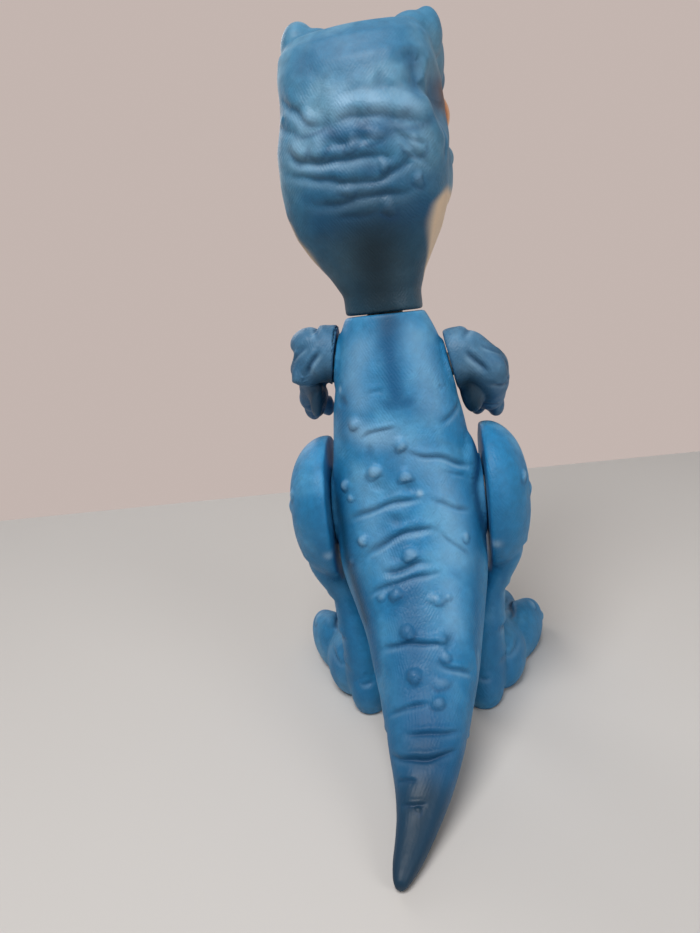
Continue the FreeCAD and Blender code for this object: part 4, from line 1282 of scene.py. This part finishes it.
@dataclass
class Jaw:
    """Lower jaw with lips, gum line and trough, its tongue, and both rows of teeth."""

    head: Head
    enamel: Material
    flesh: Material
    roof: Material
    voxel: float = 0.5
    top: float = 34.0
    upper_places: tuple[float, ...] = (-27.0, -30.6, -34.2, -37.8, -41.4, -45.0, -48.4)
    lower_places: tuple[float, ...] = (-26.0, -29.6, -33.2, -36.8, -40.4, -43.8)
    tooth: tuple[float, float, float] = (2.8, 1.0, 0.22)  # length, and radius at the root and at the tip
    gum: float = 0.55
    rear_lean: float = 26.0
    trough: tuple[Point, Point] = ((0, -27.0, 34.0), (8.6, 19.4, 3.8))
    wrinkles: tuple[tuple[float, float], ...] = ((-42.0, 21.6), (-33.0, 18.2), (-24.0, 15.4))
    folds: tuple[Fold, ...] = (  # lip and cheek, in the head's own frame
        Fold(((9.6, -46, 30.4), (13.4, -34, 29.6), (14, -22, 29)), 0.9, 0.4, 0.35),
        Fold(((5, -46, 24.6), (8.6, -34, 20.4), (9, -22, 16)), 1.1, 0.4, 0.3),
    )

    def half_width(self, y: float) -> float:
        """Half width of the jaw at a place along the snout."""
        rows = self.head.jaw
        for (y0, w0, _), (y1, w1, _) in zip(rows, rows[1:]):
            if y1 <= y <= y0:
                return w0 + (w1 - w0) * (y - y0) / (y1 - y0)
        return rows[-1][1]

    def build(self) -> None:
        """Makes the jaw's skin, the tongue, the teeth and the palate."""
        self.skin()
        self.tongue()
        self.teeth("upper_teeth", self.upper_places)
        self.teeth("lower_teeth", self.lower_places)
        self.palate()

    def skin(self) -> None:
        """The jaw's outside with its rounded rear."""
        shape = bmesh.new()
        hinge = self.head.hinge
        outlines = []
        for y, wide, bottom in self.head.jaw:
            depth = hinge[2] - bottom
            outlines.append(ring(shape, (0, y, hinge[2]), (wide, depth, depth), self.head.jaw_fullness))
        lofted(shape, outlines)
        rear = self.head.drum_form(0.0)
        behind = math.radians(self.rear_lean)
        for normal in ((0.0, math.cos(behind), math.sin(behind)), (0.0, 0.0, 1.0)):
            sliced(rear, hinge, normal)
        append(shape, rear)
        sliced(shape, (0, 0, self.top), (0, 0, 1))
        mesh = cut_out(drawn_over(shape, self.voxel), [lump(*self.trough)])
        mesh.transform(self.head.place())
        strokes: list[Stroke] = []
        for side in (1.0, -1.0):
            strokes += [moved(fold, lambda point: self.head.at(point, side)) for fold in self.folds]
        for y, z in self.wrinkles:
            wrinkle = Fold(((6.5, y + 1.0, z + 2.4), (0.0, y, z), (-6.5, y + 1.0, z + 2.4)), 1.0, 0.4, 0.3)
            strokes.append(moved(wrinkle, self.head.at))
        carving = Carving(mesh)
        carving.carve(strokes)
        carving.masks["cream"] += 1.0
        # Painted shade in the trough under the tongue; the folds' painted shade is weakened and their painted
        # highlights taken off.
        x, y, z = self.head.local(carving.points).T
        trough = ((x / 8.8) ** 2 + ((y + 27.0) / 19.6) ** 2 < 1.0) & (z > 30.0) & (z < 33.9)
        carving.masks["crease_shade"] = np.where(trough, 0.85, carving.masks["crease_shade"] * 0.35)
        carving.masks["highlight_and_wear"] *= 0.0
        carving.masks["hide"] *= 0.5
        carving.finish()
        finished("jaw_skin", mesh, self.head.vinyl, "jaw", "lower_jaw")

    def tongue(self) -> None:
        """Tongue with a groove along its middle."""
        shape = bmesh.new()
        middle, height = -26.5, self.top - 0.6
        blob(shape, (0, middle, height), (6.4, 15.5, 2.1), detail=5)
        for vertex in shape.verts:
            groove = math.exp(-((vertex.co.x / 1.1) ** 2)) * (1.0 if vertex.co.z > height else 0.0)
            vertex.co.z -= 0.7 * groove
            vertex.co.z += 0.5 * math.cos((vertex.co.y - middle) / 5.0) * (1.0 - abs(vertex.co.x) / 7.0)
        bmesh.ops.transform(shape, matrix=self.head.place(), verts=shape.verts)
        finished("tongue_form", to_mesh(shape, "tongue"), self.flesh, "jaw", "tongue")

    def teeth(self, node: str, places: tuple[float, ...]) -> None:
        """Both sides of one row: tapered, slightly hooked teeth on a thin gum strip.

        Args:
            node: upper_teeth, which hang from the snout, or lower_teeth.
            places: where each tooth stands along the snout.
        """
        shape = bmesh.new()
        upper = node == "upper_teeth"
        height = self.head.mouth - 0.4 if upper else self.top + 0.3
        out = 1.35 if upper else -1.7
        down = -1.0 if upper else 1.0
        longest, root, tip = self.tooth
        for side in (1.0, -1.0):
            spots = [Vector((side * (self.half_width(y) + out), y, height)) for y in places]
            for number, spot in enumerate(spots):
                length = longest - 0.35 * (number % 2)
                tooth = bmesh.new()
                size = {"radius1": root, "radius2": tip, "depth": length}
                bmesh.ops.create_cone(tooth, cap_ends=True, segments=14, **size)
                upright = [e for e in tooth.edges if abs(e.verts[0].co.z - e.verts[1].co.z) > 0.5 * length]
                bmesh.ops.subdivide_edges(tooth, edges=upright, cuts=4)
                for vertex in tooth.verts:
                    share = vertex.co.z / length + 0.5
                    swell = 1.0 + 0.22 * math.sin(math.pi * min(share * 1.2, 1.0))
                    vertex.co.x *= swell
                    vertex.co.y = vertex.co.y * swell * 1.1 + 0.55 * share * share
                    vertex.co.z = down * (vertex.co.z + length / 2.0)
                bmesh.ops.translate(tooth, vec=spot, verts=tooth.verts)
                append(shape, tooth)
            for first, second in zip(spots, spots[1:]):
                along = second - first
                size = {"radius1": self.gum, "radius2": self.gum, "depth": along.length * 1.04}
                made = bmesh.ops.create_cone(shape, cap_ends=True, segments=12, **size)
                matrix = Z_AXIS.rotation_difference(along).to_matrix()
                bmesh.ops.rotate(shape, cent=(0, 0, 0), matrix=matrix, verts=made["verts"])
                bmesh.ops.translate(shape, vec=(first + second) / 2.0, verts=made["verts"])
        bmesh.ops.recalc_face_normals(shape, faces=shape.faces)
        bmesh.ops.transform(shape, matrix=self.head.place(), verts=shape.verts)
        name = f"{node}_row"
        finished(name, to_mesh(shape, name), self.enamel, "head" if upper else "jaw", node)

    def palate(self) -> None:
        """Roof of the mouth with cross ridges."""
        shape = self.head.muzzle_form(2.5, self.head.mouth + 3.4, self.head.mouth + 4.8)
        sliced(shape, (0, -49.0, 0), (0, -1, 0))
        sliced(shape, (0, -14.0, 0), (0, 1, 0))
        mesh = drawn_over(shape, 0.45, 1)
        points = np.zeros((len(mesh.vertices), 3))
        mesh.vertices.foreach_get("co", points.ravel())
        under = points[:, 2] < self.head.mouth + 3.9
        ridge = 0.28 * np.sin(points[:, 1] * 2.0 * math.pi / 3.2 + np.abs(points[:, 0]) * 0.35)
        points[:, 2] += np.where(under, ridge, 0.0)
        mesh.vertices.foreach_set("co", points.ravel())
        mesh.transform(self.head.place())
        finished("palate_ridged", mesh, self.roof, "head", "mouth_roof")


@dataclass
class Arm:
    """Short arm with a bent elbow and two hooked fingers."""

    side: Side
    vinyl: Material
    rise: float = 0.0  # how far up the flank its shoulder sits
    reach: float = 1.0  # how much of its full width it stands out
    shoulder: Point = (14.9, -7.85, 93.0)
    lean: float = 1.131  # sideways shift of the shoulders
    slope: float = 11.0
    lumps: tuple[tuple[Point, Point], ...] = ()  # extra forms: centre and half axes
    dents: tuple[Bump, ...] = ()
    bore: Point = (2.3, 0.0, 0.3)  # middle of the plug's bore, from the shoulder
    bore_radius: float = 4.2
    voxel: float = 0.4
    swells: tuple[float, float] = (0.1, 9.0)
    folds: tuple[Fold, ...] = (
        Fold(((11.6, 4.6, 1.6), (13.2, 3.4, -2.6), (13.8, 0.6, -6.6)), 0.8, 0.5, 0.3),
        Fold(((8.6, 7.4, -2.4), (7, 7.6, 0.6), (3.6, 7, 3.6)), 0.7, 0.6, 0.4),
        Fold(((13.4, 4, 1.2), (11, 5.4, 3.4), (7.6, 5.6, 5.2)), 0.6, 0.35, 0.25),
        Fold(((14.8, -1.6, -6), (12.6, 3.4, -6), (9, 6.4, -5)), 0.6, 0.4, 0.25),
        Fold(((9.8, -12.5, -11), (10.2, -9, -12.5)), 0.7, 0.7, 0.2),
        Fold(((5, -4, 7), (5, 2, 8.8), (3, 6, 6)), 0.8, 0.35, 0.25),
        Fold(((13, -4.4, -12.4), (9.6, -2.6, -13.2), (6.2, -3.4, -12.4)), 0.6, 0.35, 0.2),
    )
    # A deeper tone towards the hand, and painted shade on the arm's underside next to the body.
    sprays: tuple[Spray, ...] = (
        Spray("deep_airbrush_and_shade", ((9, -2, -7), (11, -11, -15)), 5, 0.5),
        Spray("shade_and_dark_airbrush", ((4, 4, -5), (5.6, 2, -11)), 4.6, 0.85),
    )

    def build(self) -> None:
        """Makes the arm's skin from its moulded piece."""
        name = self.side.name.lower()
        table = self.folds + self.dents + self.sprays
        strokes = [moved(stroke, self.at, self.side is Side.RIGHT) for stroke in table]
        stopper = Stopper(self.at(self.bore), self.bore_radius, self.side.value * self.slope)
        shape = stopped_copy(f"arm_{name}", (stopper,))
        for centre, half_axes in self.lumps:
            blob(shape, self.at(centre), half_axes)
        mesh = carved(drawn_over(shape, self.voxel, 4), strokes, self.swells)
        finished(f"arm_{name}_skin", mesh, self.vinyl, f"{name}_arm", f"arm_{name}")

    def at(self, point: Point) -> Point:
        """A place measured outwards, back and up from the arm's own shoulder, in the toy's frame."""
        slope = math.radians(self.slope)
        out, back, up = self.shoulder
        across = self.side.value * (out + point[0] * self.reach) - self.rise * math.sin(slope)
        return across + self.lean, back + point[1], up + self.rise * math.cos(slope) + point[2]


@dataclass
class Leg:
    """Leg with a domed thigh, a shin that passes under the belly and a broad foot with clawed toes."""

    side: Side
    vinyl: Material
    bore: Point = (22.0, -7.85, 57.5)  # middle of the left leg's bore
    bore_radius: float = 6.8
    voxel: float = 0.55
    swells: tuple[float, float] = (0.12, 14.0)
    folds: tuple[Fold, ...] = (
        Fold(((28.4, -20, 45), (31, -8, 42.6), (29.4, 4, 44.6)), 0.9, 0.5, 0.35),
        Fold(((22, -16, 33), (24.8, -8, 31), (24, 1, 32)), 0.8, 0.5, 0.35),
        Fold(((22.6, -12, 22.6), (24.2, -4, 21), (22, 5, 22.6)), 0.8, 0.45, 0.3),
        Fold(((26.4, -10, 12.6), (26.2, -2, 13), (22, 6, 13.2)), 0.7, 0.4, 0.25),
        Fold(((21, 8.4, 12), (17, 9.4, 11.6), (12.6, 7.6, 12)), 0.7, 0.35, 0.25),
        Fold(((26.4, -14, 16.5), (27, -26, 13.5), (28.2, -36, 8)), 0.9, 0.8, 0.3, 1.2),
        Fold(((20.2, -16, 17), (20.2, -28, 14), (20, -38, 8)), 0.9, 0.8, 0.3, 1.2),
        Fold(((26, -27, 67), (30.6, -20, 66)), 0.7, 0.3, 0.2),
    )
    bumps: tuple[Bump, ...] = (
        Bump((31.4, -2, 60), 1.8, 0.5),
        Bump((30, -14, 57), 1.6, 0.5),
        Bump((29.6, 3, 65), 1.5, 0.5),
        Bump((30.8, -7, 51), 1.7, 0.5),
        Bump((27, -22.5, 62), 1.5, 0.5),
        Bump((33, -26, 14), 1.5, 0.5),
        Bump((24, -28, 16.6), 1.5, 0.5),
        Bump((15.6, -26, 15), 1.5, 0.5),
    )
    # Painted shade down the back of the shin and over the foot, a deeper tone on the back of the thigh, and a
    # small painted highlight.
    sprays: tuple[Spray, ...] = (
        Spray("deep_airbrush_and_shade", ((24, 6, 34), (23, 8, 18)), 6, 0.6),
        Spray("deep_airbrush_and_shade", ((30, -2, 12), (18, 12, 8)), 9, 0.55),
        Spray("deep_airbrush_and_shade", ((22, 16, 62), (24, 15, 50)), 6, 0.4),
        Spray("highlight_and_wear", ((21.4, 9, 49.6),), 1.1, 1),
    )

    def build(self) -> None:
        """Makes the leg's skin from its moulded piece."""
        name = self.side.name.lower()
        table = self.folds + self.bumps + self.sprays
        strokes = [moved(stroke, self.at, self.side is Side.RIGHT) for stroke in table]
        shape = stopped_copy(f"leg_{name}", (Stopper(self.at(self.bore), self.bore_radius),))
        mesh = carved(drawn_over(shape, self.voxel), strokes, self.swells, self.flatten)
        finished(f"leg_{name}_skin", mesh, self.vinyl, f"{name}_leg", f"leg_{name}")

    def at(self, point: Point) -> Point:
        """A place of the left leg on this leg's side."""
        return self.side.value * point[0], point[1], point[2]

    def flatten(self, carving: Carving) -> None:
        """Keeps the sole on the floor."""
        carving.points[:, 2] = np.maximum(carving.points[:, 2], 0.0)


@dataclass
class Studio:
    """Pale floor and backdrop, soft light, and the camera close behind the toy."""

    eye_height: float = 117.3
    pitch: float = 15.0
    roll: float = 6.9
    yaw: float = 7.5
    sideways: float = 14.9
    ahead: float = 180.8
    focal_pixels: float = 700.0
    sensor: float = 36.0
    nearest: float = 0.005  # metres
    table_width: float = 3.0  # metres
    table_near: float = 1.2
    table_far: float = -0.218
    table_turn: float = 3.3
    aim: Point = (0.0, 0.0, 0.09)  # metres, where the lamps point
    lights: tuple[tuple[str, Point, float, float], ...] = (  # name, place and size in metres, and power
        ("overhead", (0.08, 0.30, 0.60), 0.36, 3.4),
        ("behind_right", (-0.50, 0.46, 0.34), 0.34, 1.3),
        ("front", (0.35, -0.55, 0.40), 0.40, 1.0),
    )

    def build(self) -> None:
        """Sets the stage, the lamps and the camera."""
        self.floor()
        self.lamps()
        self.camera()
        bpy.context.scene.view_settings.view_transform = "Standard"

    def floor(self) -> None:
        """Large plain table top, whose far edge lies a little beyond the toy."""
        shape = bmesh.new()
        bmesh.ops.create_grid(shape, x_segments=1, y_segments=1, size=0.5)
        width, near, far = self.table_width, self.table_near, self.table_far
        bmesh.ops.scale(shape, vec=(width, near - far, 1.0), verts=shape.verts)
        bmesh.ops.translate(shape, vec=(0.0, (near + far) / 2.0, 0.0), verts=shape.verts)
        turn = Matrix.Rotation(math.radians(self.table_turn), 3, "Z")
        bmesh.ops.rotate(shape, cent=(0, 0, 0), matrix=turn, verts=shape.verts)
        plane = link("floor", to_mesh(shape, "floor"))
        material, tree, shader = new_material("pale_floor")
        coordinates = add(tree, "TexCoord")
        cloud = add(tree, "TexNoise", {"Vector": coordinates.outputs["Object"], "Scale": 3.0}).outputs[0]
        shades = {0: cloud, 6: linear("#C9C5C1"), 7: linear("#CFCBC7")}
        feed(shader, {"Base Color": add(tree, "Mix", shades, data_type="RGBA").outputs[2], "Roughness": 0.75})
        plane.data.materials.append(material)

    def lamps(self) -> None:
        """Broad lamp above and behind, a weaker one each side, and a dim pale room."""
        world = bpy.data.worlds.new("room")
        bpy.context.scene.world = world
        world.use_nodes = True
        tree = world.node_tree
        tree.nodes.clear()
        path = add(tree, "LightPath")
        mirrored = {0: path.outputs["Is Glossy Ray"], 1: path.outputs["Is Transmission Ray"]}
        either = add(tree, "Math", mirrored, operation="MAXIMUM")
        straight = {0: path.outputs["Is Camera Ray"], 1: either.outputs[0]}
        direct = add(tree, "Math", straight, operation="MAXIMUM")
        room = add(tree, "Background", {0: linear("#C8C4C4"), 1: 0.3})
        seen = add(tree, "Background", {0: linear("#CDBEB8"), 1: 0.9})
        chosen = add(tree, "MixShader", {0: direct.outputs[0], 1: room.outputs[0], 2: seen.outputs[0]})
        add(tree, "OutputWorld", {0: chosen.outputs[0]})
        for name, place, size, power in self.lights:
            lamp = bpy.data.lights.new(name, "AREA")
            lamp.shape = "DISK"
            lamp.size = size
            lamp.energy = power
            holder = bpy.data.objects.new(name, lamp)
            bpy.context.scene.collection.objects.link(holder)
            aim = Vector(self.aim) - Vector(place)
            turn = aim.to_track_quat("-Z", "Y").to_matrix().to_4x4()
            holder.matrix_world = Matrix.Translation(place) @ turn

    def camera(self) -> None:
        """Camera that looks down at the toy's back, a little rolled."""
        yaw, pitch, roll = (math.radians(value) for value in (self.yaw, self.pitch, self.roll))
        x = self.sideways * math.cos(yaw) - self.ahead * math.sin(yaw)
        y = self.sideways * math.sin(yaw) + self.ahead * math.cos(yaw) + PLUMB_Y
        right = Vector((-math.cos(yaw), -math.sin(yaw), 0.0))
        level = Vector((math.sin(yaw), -math.cos(yaw), 0.0))
        forward = level * math.cos(pitch) - Z_AXIS * math.sin(pitch)
        upright = level * math.sin(pitch) + Z_AXIS * math.cos(pitch)
        rolled_right = right * math.cos(roll) - upright * math.sin(roll)
        rolled_up = right * math.sin(roll) + upright * math.cos(roll)
        matrix = Matrix((rolled_right, rolled_up, -forward)).transposed().to_4x4()
        matrix.translation = Vector((x, y, self.eye_height)) * MM
        lens = bpy.data.cameras.new("camera")
        lens.sensor_width = self.sensor
        lens.lens = self.focal_pixels * self.sensor / IMAGE_HEIGHT
        lens.clip_start = self.nearest
        holder = bpy.data.objects.new("camera", lens)
        bpy.context.scene.collection.objects.link(holder)
        holder.matrix_world = matrix
        bpy.context.scene.camera = holder


def dress_hidden(plastic: Material, steel: Material) -> None:
    """Finishes the pieces that stay as they are: the swivel plugs and the hinge pins.

    Args:
        plastic: the plugs' finish.
        steel: the pins' finish.
    """
    plugs = ("neck_plug", "hip_plug_left", "hip_plug_right", "shoulder_plug_left", "shoulder_plug_right")
    for name in plugs + ("jaw_pins",):
        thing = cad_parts[name]
        thing.data.materials.clear()
        thing.data.materials.append(steel if name == "jaw_pins" else plastic)
        LOG.info("%s: kept", name)


def main() -> None:
    """Builds the toy and its stage."""
    logging.basicConfig(level=logging.INFO, format="%(message)s")
    vinyl = PaintedVinyl().material()
    # Greyer copies for the head and the arms; on the head the greyer tone is partly a painted reflection.
    head_vinyl = PaintedVinyl("painted_vinyl_head", base="#3A7698", light="#5F8FAA").material()
    arm_vinyl = PaintedVinyl("painted_vinyl_arms", base="#3B6C8E", light="#54809F").material()
    enamel = TintedPlastic("ivory_teeth", "#EFE6CF", "#D8C79F", 1.6, 0.03, 0.28).material()
    flesh = TintedPlastic("pink_tongue", "#B8575A", "#9A3F45", 3.0, 0.08, 0.36).material()
    roof = TintedPlastic("red_palate", "#8C3038", "#6E2229", 3.0, 0.08, 0.4).material()
    plug = TintedPlastic("moulded_plug", "#D9D8D2", "#C4C3BC", 6.0, 0.03, 0.42).material()
    Torso(vinyl).build()
    head = Head(head_vinyl, LacqueredEye().material())
    head.build()
    Jaw(head, enamel, flesh, roof).build()
    left_lumps = (((7.0, -0.7, 5.0), (5.8, 6.2, 4.4)), ((7.2, -0.6, -6.9), (3.8, 4.2, 8.0)))
    right_lumps = (((5.3, -1.2, -5.2), (3.4, 4.8, 8.2)), ((9.0, -1.6, 0.6), (3.8, 5.5, 3.6)))
    elbow = Bump((15.2, -2.0, -4.0), 7.0, -2.4)
    Arm(Side.LEFT, arm_vinyl, rise=4.0, reach=0.82, lumps=left_lumps, dents=(elbow,)).build()
    Arm(Side.RIGHT, arm_vinyl, lumps=right_lumps).build()
    for side in Side:
        Leg(side, vinyl).build()
    dress_hidden(plug, DrawnSteel().material())
    Studio().build()


if __name__ == "__main__":
    main()
